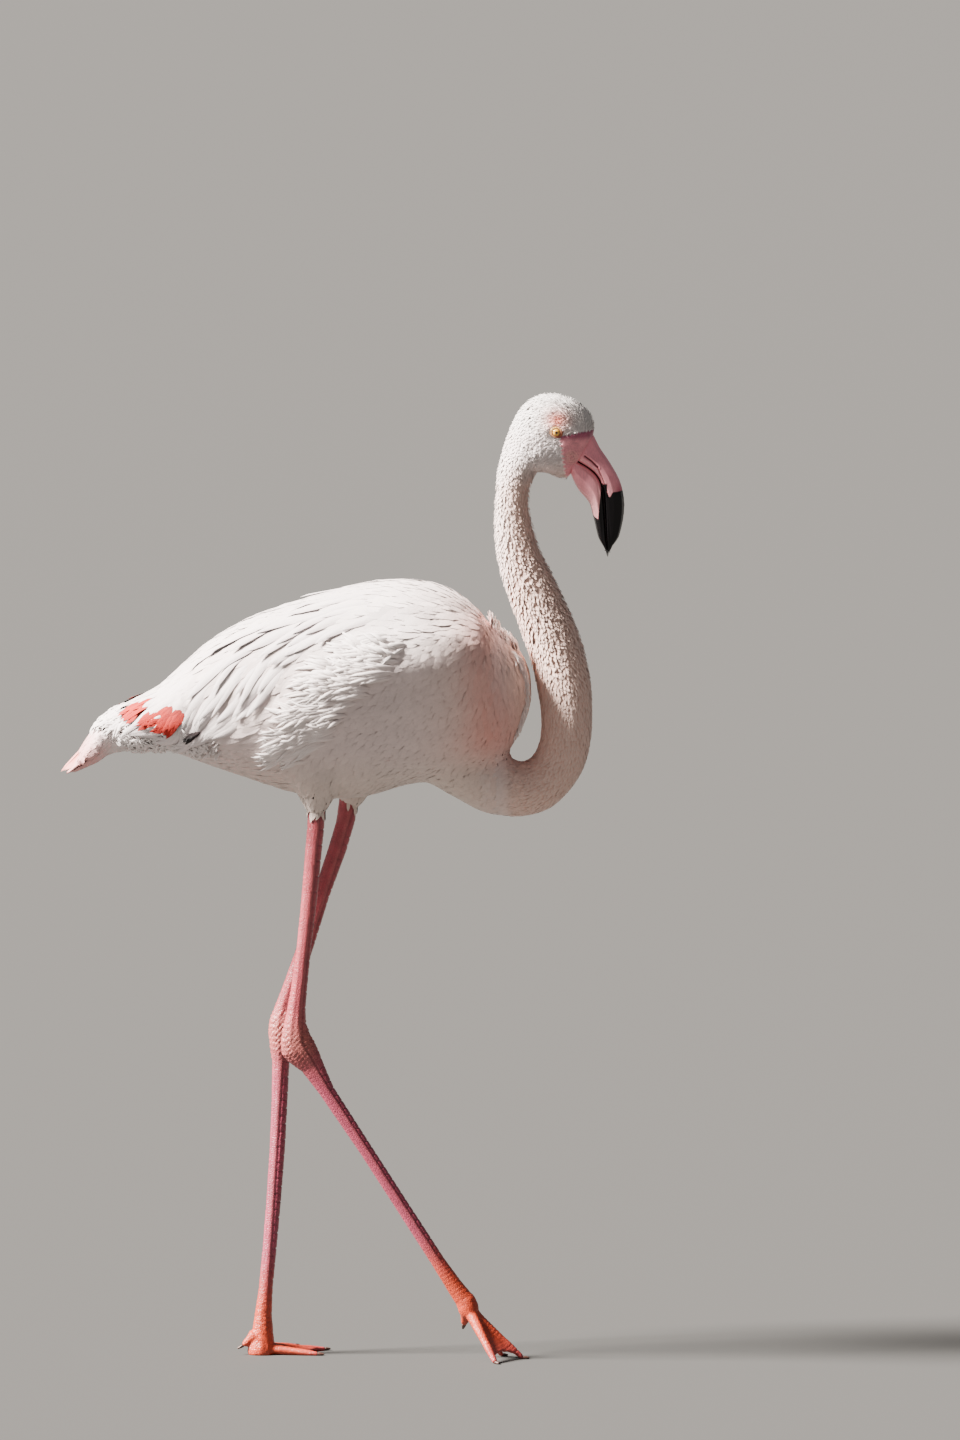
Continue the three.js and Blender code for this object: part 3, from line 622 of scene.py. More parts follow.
def blades(name, path, outs, widths, shape):
    """One mesh of many feathers from their shafts.

    shape gives, for each row from root to tip, outline as shares of the width and height off the
    skin in metres; camber, how proud the shaft is, as a share of the width; fray, how uneven the
    edges are; seed; spine, for the baking map; dye(root, tip), the colours of the root and tip;
    maybe columns; maybe edge, a colour for the edges of the vanes; and maybe relief. With
    relief, light falls on the coat as on one soft form, and that share of each feather's own tilt
    shows on it; lean is how far the loose vanes turn that form further, at the root and at the
    tip, and turned is the share of it on each feather.
    """
    forward, sound = unfolded(path, outs)
    path, outs, widths, forward = path[sound], outs[sound], widths[sound], forward[sound]
    count, rows = path.shape[0], path.shape[1] - 2
    columns = shape.get("columns", 3)
    rng = np.random.default_rng(shape["seed"])
    side = np.cross(forward, outs)
    side /= np.maximum(np.linalg.norm(side, axis=2), 1e-9)[:, :, None]
    height = np.broadcast_to(np.asarray(shape["height"]), (len(sound), rows + 2))[sound]
    centre = path + outs * height[:, :, None]
    across = np.linspace(-1.0, 1.0, columns)
    arch = 1.0 - np.abs(across) ** VANE_ARCH
    half = widths[:, None] * np.asarray(shape["outline"])[None, 1:-1] / 2
    half = half[:, :, None] * (1.0 - shape["fray"] * rng.random((count, rows, columns)))
    thick = widths[:, None] * shape["camber"]
    over, beside, ahead = outs[:, 1:-1, None, :], side[:, 1:-1, None, :], forward[:, 1:-1, None, :]
    vanes = centre[:, 1:-1, None, :] + beside * (half * across)[..., None]
    vanes = vanes + over * (thick[:, :, None] * arch[None, None, :])[..., None]
    vanes += over * (shaft_room(vanes, outs, thick)[:, :, None] * arch)[..., None]
    points = np.concatenate([centre[:, :1], vanes.reshape(count, rows * columns, 3), centre[:, -1:]], 1)
    top, under = blade_faces(rows, columns)
    mesh, loops, sizes = feather_mesh(name, points, top + under)

    # The grain map runs across and along each feather, and the baking map packs them in patches.
    a = np.concatenate([[0.0], np.tile(across, rows), [0.0]])
    t = np.concatenate([[0.0], np.repeat(np.linspace(0, 1, rows + 2)[1:-1], columns), [1.0]])
    tone = rng.random(count)
    grain = np.stack([np.tile(a, (count, 1)) + 4 * tone[:, None], np.tile(t, (count, 1))], 2)
    mesh.uv_layers.new(name="grain").uv.foreach_set("vector", grain[:, loops].ravel())
    below = np.repeat([0.0] * len(top) + [1.0] * len(under), sizes)
    patch = np.stack([(a[loops] + 1) * 0.23 + below * 0.5, t[loops]], 1) - 0.5
    bake = bake_places(path[:, 0], shape["spine"])[:, None, :] + BAKE_PATCH * patch[None]
    mesh.uv_layers.new(name="OFBake").uv.foreach_set("vector", bake.ravel())

    root_colouring, tip_colouring = shape["colouring"](path[:, 0], path[:, -1])
    colouring = root_colouring[:, None, :] + (tip_colouring - root_colouring)[:, None, :] * t[None, :, None]
    if "edge" in shape:
        colouring = colouring + (np.array(shape["edge"]) - colouring) * (a**2 * 0.8)[None, :, None]
    colouring = np.clip(colouring * (1 + UNEVEN_TONE * (tone[:, None, None] - 0.5)), 0, 1)
    paint(mesh, "colouring", colouring.reshape(-1, 3))

    if "relief" in shape:
        stride = np.linalg.norm(np.gradient(path, axis=1), axis=2)
        slope = np.clip(np.gradient(height, axis=1) / np.maximum(stride, 1e-9), -STEEPEST, STEEPEST)
        roll = 2 * VANE_ARCH * shape["camber"] * np.sign(across) * np.abs(across) ** VANE_ROLL
        stir = rng.normal(0.0, STIR, (2, count, 1, 1))
        sideways = (shape["relief"] * roll + stir[0])[..., None] * beside
        backward = (shape["relief"] * slope[:, 1:-1, None] + stir[1])[..., None] * ahead
        face = (over + sideways - backward).reshape(count, rows * columns, 3)
        face = np.concatenate([outs[:, :1], face, outs[:, -1:]], 1)
        if "lean" in shape:
            low, high = np.array(shape["lean"])
            turned = np.broadcast_to(shape.get("turned", 1.0), len(sound))[sound]
            face = face + turned[:, None, None] * (low + (high - low) * t[None, :, None])
        face /= np.linalg.norm(face, axis=2)[:, :, None]
        facing = mesh.attributes.new("custom_normal", "FLOAT_VECTOR", "POINT")
        facing.data.foreach_set("vector", face.ravel())
        mesh.update()
    else:
        mesh.shade_flat()
    return link_object(name, mesh)


def grow(name, tree, lie, places, lengths, yaw, widths, shape, sway=0.0):
    """A piece of feathers that grow from places on the skin, with a row for each of outline's."""
    path, outs = shafts(tree, *places, lengths, len(shape["outline"]), lie, yaw, sway)
    return blades(name, path, outs, widths, shape)


def same_as_skin(root, tip):
    """The skin's colour under the feather, painted light and shade included, a little darker at the root."""
    return plumage_colour_light_and_shade(root) * 0.97, plumage_colour_light_and_shade(tip)


def add_node(tree, kind, feeds=(), **settings):
    """A shader node. Each feed is another node's output, or a plain value for that input."""
    made = tree.nodes.new("ShaderNode" + kind)
    for name, value in settings.items():
        setattr(made, name, value)
    for name, value in dict(feeds).items():
        if isinstance(value, bpy.types.NodeSocket):
            tree.links.new(value, made.inputs[name])
        else:
            made.inputs[name].default_value = value
    return made


def new_material(name, look):
    """A material with these plain values on its shader, its node tree and the shader."""
    made = bpy.data.materials.new(name)
    made.use_nodes = True
    shader = made.node_tree.nodes["Principled BSDF"]
    for socket, value in look.items():
        shader.inputs[socket].default_value = value
    return made, made.node_tree, shader


def from_to(tree, value, low, high, start=0.0, end=1.0):
    """A number that goes from low to high as the value goes from start to end."""
    feeds = {"Value": value, "From Min": start, "From Max": end, "To Min": low, "To Max": high}
    return add_node(tree, "MapRange", feeds).outputs["Result"]


def tinted(tree, shader, colour, share):
    """Gives the shader a colour made lighter or darker from place to place."""
    tint = add_node(tree, "VectorMath", {0: colour, "Scale": share}, operation="SCALE")
    tree.links.new(tint.outputs[0], shader.inputs["Base Color"])


def in_relief(tree, shader, height, strength, distance):
    bump = add_node(tree, "Bump", {"Strength": strength, "Distance": distance, "Height": height})
    tree.links.new(bump.outputs["Normal"], shader.inputs["Normal"])


def colouring_of(tree):
    """The colour painted on the piece's points."""
    return add_node(tree, "Attribute", attribute_name="colouring").outputs["Color"]


def barbs_group():
    """Fine barbs that run out and forward from a feather's shaft, as a height."""
    group = bpy.data.node_groups.new("barbs", "ShaderNodeTree")
    for name, way, kind in (("Grain", "INPUT", "Vector"), ("Along", "INPUT", "Float"),
                            ("Across", "INPUT", "Float"), ("Height", "OUTPUT", "Float")):
        group.interface.new_socket(name, in_out=way, socket_type=f"NodeSocket{kind}")
    given = group.nodes.new("NodeGroupInput").outputs
    apart = add_node(group, "SeparateXYZ", {0: given["Grain"]}).outputs
    shaft = add_node(group, "Math", {0: apart["X"], 1: 1.0}, operation="PINGPONG").outputs[0]
    slant = add_node(group, "Math", {0: shaft, 1: -0.22, 2: apart["Y"]}, operation="MULTIPLY_ADD")
    long = add_node(group, "Math", {0: slant.outputs[0], 1: given["Along"]}, operation="MULTIPLY")
    wide = add_node(group, "Math", {0: apart["X"], 1: given["Across"]}, operation="MULTIPLY")
    place = add_node(group, "CombineXYZ", {"X": wide.outputs[0], "Y": long.outputs[0]}).outputs[0]
    noise = add_node(group, "TexNoise", {"Vector": place, "Scale": 1.0, "Detail": 3.0})
    group.links.new(noise.outputs["Fac"], group.nodes.new("NodeGroupOutput").inputs["Height"])
    return group


BARBS = barbs_group()


def feather_material(name, along, across, relief):
    """Soft matt feather: the dye, darkened a little between barbs, with the barbs in relief."""
    made, tree, shader = new_material(name, {
        "Roughness": 0.72, "Specular IOR Level": 0.35, "Sheen Weight": 0.25, "Sheen Roughness": 0.5})
    grain = add_node(tree, "UVMap", uv_map="grain").outputs["UV"]
    feeds = {"Grain": grain, "Along": along, "Across": across}
    barb = add_node(tree, "Group", feeds, node_tree=BARBS).outputs["Height"]
    tinted(tree, shader, colouring_of(tree), from_to(tree, barb, 0.93, 1.03, 0.3, 0.7))
    in_relief(tree, shader, barb, 0.6, relief)
    return made


def dress(piece, material):
    piece.data.materials.append(material)
    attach(piece, "root")


NECK_LIE = [
    (0.283, 1.050, 120), (0.272, 1.068, 140), (0.250, 1.082, 165), (0.225, 1.085, 185),
    (0.200, 1.068, 225), (0.187, 1.040, 250), (0.178, 1.010, 262), (0.255, 1.030, 185),
    (0.235, 1.040, 190), (0.215, 1.040, 215), (0.250, 1.005, 190), (0.230, 1.010, 205),
    (0.210, 1.010, 235), (0.245, 0.992, 185), (0.225, 0.998, 215), (0.205, 0.985, 262),
    (0.190, 0.960, 269), (0.190, 0.920, 274), (0.200, 0.880, 285), (0.218, 0.840, 292),
    (0.232, 0.800, 290), (0.243, 0.760, 282), (0.249, 0.720, 272), (0.247, 0.690, 258),
    (0.236, 0.665, 235), (0.218, 0.648, 205), (0.190, 0.642, 180), (0.160, 0.652, 165),
    (0.130, 0.665, 165),
]
NECK_SPINE = [
    (0.13, 0.67), (0.18, 0.645), (0.22, 0.65), (0.247, 0.69), (0.248, 0.74), (0.225, 0.82),
    (0.195, 0.90), (0.19, 0.96), (0.2, 1.01), (0.235, 1.04), (0.28, 1.05),
]
DOWN = feather_material("head_and_neck_plumage", 5.0, 4.0, 0.0004)
HEAD_SPACING = 0.0015
HEAD_FEATHER, NAPE_LONGER = 0.0036, 0.0022
EYE_ROOM = 0.0088
rng = np.random.default_rng(11)


def on_head(points, out):
    beside = np.stack([points[:, 0], np.abs(points[:, 1]), points[:, 2]], 1)
    clear = np.linalg.norm(beside - EYE_CENTRE, axis=1) > EYE_ROOM
    edge = points + 0.0009 * np.sin(points[:, [2, 0, 2]] * 5200 + points[:, [1, 1, 0]] * 3100)
    return (points[:, 2] > 0.988) & (bare_face(edge) < 0.5) & clear & (points[:, 0] < 0.283)


head_tree, head_surface = surface_of(head_skin)
roots, out = scatter(head_surface, HEAD_SPACING, on_head, 1)
size = HEAD_FEATHER + NAPE_LONGER * ramp(0.26, 0.19, roots[:, 0])
yaw = rng.normal(0, 0.34, len(roots))
length = size * rng.uniform(0.8, 1.2, len(roots))
lift = rng.uniform(0.7, 1.3, (len(roots), 1))
head_coat = grow("head_coat", head_tree, NECK_LIE, (roots, out), length, yaw, size * 0.5, {
    "outline": [0, 0.9, 1.0, 0.7, 0],
    "height": lift * np.array([[-0.0005, 0.0003, 0.0010, 0.0017, 0.0022]]),
    "camber": 0.14, "fray": 0.3, "seed": 2, "spine": NECK_SPINE, "colouring": same_as_skin,
    "relief": 0.9, "lean": [(-0.22, 0.0, 0.10)] * 2})
dress(head_coat, DOWN)

# ------------------------------------------------------------------ neck coat
# Short, stiff feathers that stand in small pale points down the neck, rougher where the neck is
# straight and quite smooth where it turns up under the breast.
NECK_SPACING = 0.0024
NECK_FEATHER, TOP_SHORTER = 0.0082, 0.0026
ROOT_SHADE, TIP_PINK = np.array([0.95, 0.82, 0.77]), (0.93, 0.77, 0.70)


def tipped(root, tip):
    """Paler at the tip than at the root."""
    colouring = plumage_colour_light_and_shade(root)
    return colouring * ROOT_SHADE, blend(colouring, TIP_PINK, np.full(len(colouring), 0.5))


def on_neck(points, out):
    return (points[:, 2] < 1.002) & (points[:, 0] > 0.17)


neck_tree, neck_surface = surface_of(neck_skin)
roots, out = scatter(neck_surface, NECK_SPACING, on_neck, 3)
rough = ramp(0.70, 0.84, roots[:, 2])
size = NECK_FEATHER - TOP_SHORTER * ramp(0.80, 1.0, roots[:, 2])
yaw = rng.normal(0, 1, len(roots)) * (0.08 + 0.22 * rough)
length = size * rng.uniform(0.8, 1.2, len(roots))
lift = rng.uniform(0.7, 1.3, len(roots)) * (0.40 + 0.60 * rough)
neck_coat = grow("neck_coat", neck_tree, NECK_LIE, (roots, out), length, yaw, size * 0.46, {
    "outline": [0, 0.85, 1.0, 0.75, 0],
    "height": lift[:, None] * np.array([[-0.0006, 0.0004, 0.0013, 0.0021, 0.0026]]),
    "camber": 0.10, "fray": 0.3, "seed": 4, "spine": NECK_SPINE, "colouring": tipped,
    "relief": 0.5, "lean": [(-0.05, 0.0, 0.05)] * 2})
dress(neck_coat, DOWN)

# ------------------------------------------------------------------ breast, belly and flank coat
# Dense contour feathers, silky and close, so that the breast and belly look all of a piece. They
# are salmon where the breast rounds to the front, painted stronger there as the glow of light
# through them; they carry painted shade on the lower flank and painted bounce light under the
# belly, and run down the thighs to the bare legs.
BODY_LIE = [
    (0.205, 0.790, 262), (0.200, 0.745, 265), (0.190, 0.700, 258), (0.172, 0.670, 215),
    (0.175, 0.820, 235), (0.150, 0.850, 205), (0.155, 0.770, 248), (0.120, 0.700, 215),
    (0.120, 0.790, 225), (0.080, 0.740, 210), (0.060, 0.880, 186), (-0.050, 0.840, 212),
    (-0.110, 0.815, 218), (-0.190, 0.765, 225), (-0.240, 0.735, 215), (0.060, 0.830, 202),
    (-0.030, 0.800, 221), (-0.110, 0.760, 232), (-0.170, 0.720, 234), (0.020, 0.740, 198),
    (-0.060, 0.700, 192), (-0.150, 0.680, 180), (-0.220, 0.690, 178), (0.060, 0.665, 196),
    (-0.085, 0.650, 178), (-0.035, 0.655, 230), (0.020, 0.655, 235), (-0.030, 0.628, 264),
    (0.012, 0.628, 262), (-0.270, 0.712, 236), (-0.270, 0.690, 218), (-0.268, 0.672, 206),
]
BODY_SPINE = [(-0.31, 0.66), (-0.27, 0.70), (-0.15, 0.73), (0.0, 0.75), (0.21, 0.75)]
CONTOUR = feather_material("body_plumage", 9.0, 7.0, 0.0005)
trunk_tree, trunk_surface = surface_of(trunk_skin)

BREAST_SPACING, BREAST_FEATHER = 0.0043, 0.021
THIGH_SPACING, THIGH_FEATHER = 0.0030, 0.0135


def on_flank(points, out):
    x, z = points[:, 0], points[:, 2]
    below = z < scapular_edge(x) + 0.018
    clear_of_legs = (z > 0.652) | (x > 0.098) | (x < -0.082)
    return below & clear_of_legs & (x < 0.213) & (x > -0.262)


def draws(rng, count, length, uneven, wander, rise):
    """Lengths, turns and lifts for feathers of one coat, drawn in that order."""
    size = length * rng.uniform(*uneven, count)
    return size, rng.normal(0, wander, count), rng.uniform(*rise, (count, 1))


roots, out = scatter(trunk_surface, BREAST_SPACING, on_flank, 5)
size, yaw, lift = draws(rng, len(roots), BREAST_FEATHER, (0.85, 1.15), 0.09, (0.94, 1.06))
breast_coat = grow("breast_and_belly_coat", trunk_tree, BODY_LIE, (roots, out), size, yaw, size * 0.46, {
    "outline": [0, 0.8, 1.0, 0.9, 0.55, 0],
    "height": lift * np.array([[-0.0008, 0.0000, 0.0006, 0.0010, 0.0013, 0.0014]]),
    "camber": 0.04, "fray": 0.3, "seed": 6, "spine": BODY_SPINE, "colouring": same_as_skin,
    "relief": 0.3, "lean": [(0.20, 0.0, -0.22)] * 2,
    "turned": ramp(0.012, -0.045, roots[:, 2] - scapular_edge(roots[:, 0]))})
dress(breast_coat, CONTOUR)


def on_thigh(points, out):
    x, z = points[:, 0], points[:, 2]
    return (z <= 0.655) & (z > 0.617) & (x > -0.085) & (x < 0.10)


thigh_tree, thigh_surface = surface_of(trunk_skin, leg_skin)
roots, out = scatter(trunk_surface, THIGH_SPACING, on_thigh, 7)
size, yaw, lift = draws(rng, len(roots), THIGH_FEATHER, (0.85, 1.25), 0.14, (0.7, 1.3))
thigh_coat = grow("thigh_coat", thigh_tree, BODY_LIE, (roots, out), size, yaw, size * 0.40, {
    "outline": [0, 0.8, 1.0, 0.7, 0],
    "height": lift * np.array([[-0.0006, 0.0001, 0.0007, 0.0011, 0.0014]]),
    "camber": 0.06, "fray": 0.3, "seed": 8, "spine": BODY_SPINE, "colouring": same_as_skin, "relief": 0.4})
thigh_surface.free()
dress(thigh_coat, CONTOUR)

# ------------------------------------------------------------------ back coat
# Longer contour feathers over the back, the shoulders and the folded wings. They cover the roots
# of the long shoulder feathers.
WING_FEATHER = feather_material("wing_plumage", 16.0, 9.0, 0.0007)
BACK_SPACING = 0.0060
BACK_FEATHER, FRONT_SHORTER = 0.046, 0.020


def on_back(points, out):
    x, z = points[:, 0], points[:, 2]
    return (z > scapular_edge(x) + 0.012) & (x > -0.262) & (x < 0.195)


roots, out = scatter(trunk_surface, BACK_SPACING, on_back, 9)
length = BACK_FEATHER - FRONT_SHORTER * ramp(0.05, 0.17, roots[:, 0])
size, yaw, lift = draws(rng, len(roots), length, (0.85, 1.15), 0.08, (0.9, 1.1))
back_coat = grow("back_coat", trunk_tree, BODY_LIE, (roots, out), size, yaw, size * 0.36, {
    "outline": [0, 0.6, 0.95, 1.0, 0.92, 0.72, 0.4, 0],
    "height": lift * np.array([[-0.0010, 0.0002, 0.0010, 0.0016, 0.0021, 0.0025, 0.0028, 0.0030]]),
    "camber": 0.03, "fray": 0.22, "seed": 10, "spine": BODY_SPINE, "colouring": same_as_skin, "relief": 0.4})
dress(back_coat, WING_FEATHER)

# ------------------------------------------------------------------ long shoulder feathers
# Broad, limp feathers a hand long that hang from the shoulder over the folded wing, down and back.
# Their ends part here and there, and the shade of the gaps shows between them, cast by the feathers and also
# painted along the edges of their vanes.
SHOULDER_SPACING = 0.0112
SHORTEST_SHOULDER, LONGEST_SHOULDER = 0.040, 0.130
SHOULDER_WIDTHS = (0.011, 0.015)
# Painted shade: the edges of the vanes darken to a lilac grey, as the shade in the gaps between feathers.
VANE_WHITE, VANE_GAP_SHADE = (0.93, 0.845, 0.835), (0.78, 0.66, 0.67)


def on_shoulder(points, out):
    x, z = points[:, 0], points[:, 2]
    clear = z - scapular_edge(x)
    rear = ramp(-0.15, -0.17, x)
    reached = (clear > 0.030 - 0.012 * rear) & (clear < 0.095) & (x > -0.215) & (x < 0.070)
    return reached & (np.abs(out[:, 1]) > 0.35)


def pale_vane(root, tip):
    """White with a breath of pink, whiter towards the tip."""
    return plumage_colour_light_and_shade(root) * 0.98, all_over(VANE_WHITE, tip)


roots, out = scatter(trunk_surface, SHOULDER_SPACING, on_shoulder, 21)
drop = roots[:, 2] - scapular_edge(roots[:, 0])
spare = 0.004 + 0.018 * ramp(-0.165, -0.135, roots[:, 0])
size = np.clip(drop * 1.45 + spare, SHORTEST_SHOULDER, LONGEST_SHOULDER)
size = size * rng.uniform(0.88, 1.12, len(roots))
yaw = rng.normal(0, 0.07, len(roots))
sway = rng.normal(0, 0.006, len(roots))
lift = rng.uniform(0.75, 1.25, (len(roots), 1))
widths = rng.uniform(*SHOULDER_WIDTHS, len(roots))
shoulder_feathers = grow("shoulder_feathers", trunk_tree, BODY_LIE, (roots, out), size, yaw, widths, {
    "outline": [0, 0.55, 0.82, 0.95, 1.0, 0.99, 0.95, 0.88, 0.78, 0.62, 0.38, 0],
    "height": lift * np.linspace(-0.001, 0.0064, 12)[None, :],
    "camber": 0.11, "columns": 5, "fray": 0.14, "seed": 22, "spine": BODY_SPINE, "colouring": pale_vane,
    "edge": VANE_GAP_SHADE, "relief": 0.85}, sway)
dress(shoulder_feathers, WING_FEATHER)

# ------------------------------------------------------------------ red coverts and black quills
# The folded wing is orange-red and black underneath. Its coverts show as a red patch and streaks
# where the shoulder feathers end, with the tips of the black flight feathers below them.
COVERT_LENGTHS, STREAK_LENGTHS, COVERT_WIDTHS = (0.024, 0.032), (0.030, 0.040), (0.006, 0.010)
QUILL_LENGTHS, QUILL_WIDTHS = (0.013, 0.018), (0.0035, 0.005)
# Painted shade: the coverts darken to wine red at the root, where each lies under the next.
COVERT_ROOT_SHADE, CORAL_RED, CORAL_EDGE = (0.22, 0.004, 0.003), (0.52, 0.011, 0.003), (0.60, 0.028, 0.008)
QUILL_ROOT, QUILL_BLACK = (0.02, 0.003, 0.005), (0.005, 0.003, 0.004)
COVERT_STAND, QUILL_STAND = 0.0030, 0.005
BESIDE = 0.2


def from_to_colouring(low, high):
    """A dye that goes from one colour at the root to another at the tip, wherever it grows."""
    return lambda root, tip: (all_over(low, root), all_over(high, tip))


def beside_body(rng, count, start, end, band, reach=BESIDE):
    """Roots in a band along a side view's line, half on each side of the bird."""
    share = rng.random((count, 1))
    spot = np.array(start) + share * (np.array(end) - start) + rng.uniform(-1, 1, (count, 2)) * band
    guess = np.stack([spot[:, 0], np.zeros(count), spot[:, 1]], 1)
    sides = np.where(np.arange(count) % 2 == 0, -1.0, 1.0)
    guess[:, 1] = sides * reach
    if reach == BESIDE:
        for point, side in zip(guess, sides):
            hit = trunk_tree.ray_cast(Vector(point), Vector((0.0, -side, 0.0)))[0]
            if hit:
                point[:] = hit
    return nearest(trunk_tree, guess)


rng = np.random.default_rng(31)
patch = beside_body(rng, 110, (-0.201, 0.735), (-0.176, 0.732), (0.004, 0.005))
streak = beside_body(rng, 30, (-0.217, 0.739), (-0.201, 0.749), (0.003, 0.003))
places = [np.concatenate(pair) for pair in zip(patch, streak)]
size = rng.uniform(*COVERT_LENGTHS, len(patch[0]))
size = np.concatenate([size, rng.uniform(*STREAK_LENGTHS, len(streak[0]))])
yaw = rng.normal(0.0, 0.10, len(size))
lift = rng.uniform(0.75, 1.1, (len(size), 1))
widths = rng.uniform(*COVERT_WIDTHS, len(size))
red_coverts = grow("red_coverts", trunk_tree, BODY_LIE, places, size, yaw, widths, {
    "outline": [0, 0.7, 1.0, 1.0, 0.95, 0.8, 0.5, 0],
    "height": COVERT_STAND + lift * np.linspace(0.0, 0.0066, 8)[None, :],
    "camber": 0.08, "fray": 0.25, "seed": 32, "spine": BODY_SPINE,
    "colouring": from_to_colouring(COVERT_ROOT_SHADE, CORAL_RED), "edge": CORAL_EDGE, "relief": 0.7})
dress(red_coverts, WING_FEATHER)

QUILL_LIE = [(-0.15, 0.71, 212), (-0.2, 0.69, 205)]
places = beside_body(rng, 26, (-0.163, 0.709), (-0.158, 0.711), (0.002, 0.0015))
size = rng.uniform(*QUILL_LENGTHS, len(places[0]))
yaw = rng.normal(0.0, 0.05, len(size))
widths = rng.uniform(*QUILL_WIDTHS, len(size))
lift = rng.uniform(0.8, 1.2, (len(size), 1))
black_quills = grow("black_quills", trunk_tree, QUILL_LIE, places, size, yaw, widths, {
    "outline": [0, 0.8, 1.0, 1.0, 0.95, 0.8, 0.5, 0],
    "height": QUILL_STAND + lift * np.linspace(0.0, 0.004, 8)[None, :],
    "camber": 0.12, "fray": 0.05, "seed": 33, "spine": BODY_SPINE,
    "colouring": from_to_colouring(QUILL_ROOT, QUILL_BLACK)})
dress(black_quills, WING_FEATHER)

# ------------------------------------------------------------------ tail
# Twelve stiff, rounded feathers closed like a fan over one another, rose with salmon edges, and
# short coverts over their roots.
TAIL_SPACING, TAIL_COVERT = 0.0036, 0.020
TAIL_FEATHERS = 12
TAIL_ROWS = 12
TAIL_FEATHER_WIDTH = 0.017
TAIL_ROOT = np.array([-0.252, 0.0, 0.706])
TAIL_TIP = np.array([-0.3165, 0.0, 0.6545])
TAIL_BOW = 0.006
ROOT_SPREAD, TIP_SPREAD = 0.024, 0.017
TAIL_STAND = 0.0012
TAIL_PALE, TAIL_SALMON, TAIL_RED = (0.88, 0.50, 0.50), (0.88, 0.34, 0.30), (0.88, 0.19, 0.13)


def on_tail(points, out):
    return (points[:, 0] < -0.258) & (points[:, 0] > -0.286)


roots, out = scatter(trunk_surface, TAIL_SPACING, on_tail, 41)
size = TAIL_COVERT * rng.uniform(0.85, 1.15, len(roots))
yaw = rng.normal(0, 0.1, len(roots))
tail_coverts = grow("tail_coverts", trunk_tree, BODY_LIE, (roots, out), size, yaw, size * 0.42, {
    "outline": [0, 0.8, 1.0, 0.9, 0.6, 0],
    "height": np.array([-0.0008, 0.0004, 0.0010, 0.0014, 0.0017, 0.0018]),
    "camber": 0.04, "fray": 0.25, "seed": 42, "spine": BODY_SPINE, "colouring": same_as_skin, "relief": 0.4})
dress(tail_coverts, CONTOUR)

fan = np.linspace(-1, 1, TAIL_FEATHERS)
root = TAIL_ROOT + np.stack([0 * fan, ROOT_SPREAD * fan, 0.010 - 0.016 * np.abs(fan)], 1)
tip = TAIL_TIP + np.stack([0.010 * np.abs(fan), TIP_SPREAD * fan, 0.004 + 0.006 * np.abs(fan)], 1)
share = np.linspace(0, 1, TAIL_ROWS)[None, :, None]
path = root[:, None] + (tip - root)[:, None] * share
path[:, :, 2] += TAIL_BOW * np.sin(np.pi * share[:, :, 0])
outs = np.zeros_like(path)
outs[:, :, 0] = -0.55
outs[:, :, 1] = 0.55 * fan[:, None]
outs[:, :, 2] = 0.78
outs /= np.linalg.norm(outs, axis=2)[:, :, None]
tail_feathers = blades("tail_feathers", path, outs, np.full(TAIL_FEATHERS, TAIL_FEATHER_WIDTH), {
    "outline": [0, 0.4, 0.6, 0.75, 0.85, 0.92, 0.97, 1.0, 0.97, 0.85, 0.55, 0],
    "height": TAIL_STAND * (1 - np.abs(fan[:, None])) * np.linspace(0.2, 1, TAIL_ROWS)[None],
    "camber": 0.06, "columns": 5, "fray": 0.04, "seed": 43, "spine": BODY_SPINE,
    "colouring": from_to_colouring(TAIL_PALE, TAIL_SALMON), "edge": TAIL_RED, "relief": 0.8})
dress(tail_feathers, WING_FEATHER)

# ------------------------------------------------------------------ loose down
# Soft white plumes with loose, wispy ends. They curl out over the flank under the shoulder
# feathers, over the root of the tail and under it, and in a few points on the front of the breast.
WISP = feather_material("loose_down", 12.0, 2.0, 0.0003)
DOWN_WHITE = (0.96, 0.885, 0.860)
FRINGE_ROOT, FRINGE_TIP = (0.92, 0.74, 0.69), (0.94, 0.82, 0.79)


def down_colouring(root, tip):
    base = plumage_colour_light_and_shade(root)
    return base, blend(base, DOWN_WHITE, np.full(len(base), 0.9))


def wisps(name, clumps, start, end, guides, seed, how):
    """Clumps of narrow strands on both sides of the bird, rooted along a side view's line."""
    rng = np.random.default_rng(seed)
    homes, _ = beside_body(rng, clumps, start, end, how["band"], how["side"])
    each = how["strands"]
    spread = rng.normal(0, how["spread"], (clumps, each, 3))
    places = nearest(trunk_tree, (homes[:, None, :] + spread).reshape(-1, 3))
    count = clumps * each
    size = np.repeat(rng.uniform(*how["length"], clumps), each) * rng.uniform(0.75, 1.15, count)
    yaw = np.repeat(rng.normal(0, how["yaw"], clumps), each) + rng.normal(0, 0.12, count)
    sway = np.repeat(rng.normal(0, 0.045, clumps), each) + rng.normal(0, 0.015, count)
    stand = np.repeat(rng.uniform(*how["stand"], clumps), each) * rng.uniform(0.8, 1.2, count)
    widths = rng.uniform(*how["width"], count)
    piece = grow(name, trunk_tree, guides, places, size, yaw, widths, {
        "outline": [0, 0.8, 1.0, 0.95, 0.82, 0.62, 0.34, 0],
        "height": 0.001 + stand[:, None] * np.array(how["curl"]), "camber": 0.20, "fray": 0.35,
        "seed": seed + 1, "spine": BODY_SPINE, "colouring": how.get("colouring", down_colouring), **how["light"]}, sway)
    dress(piece, WISP)


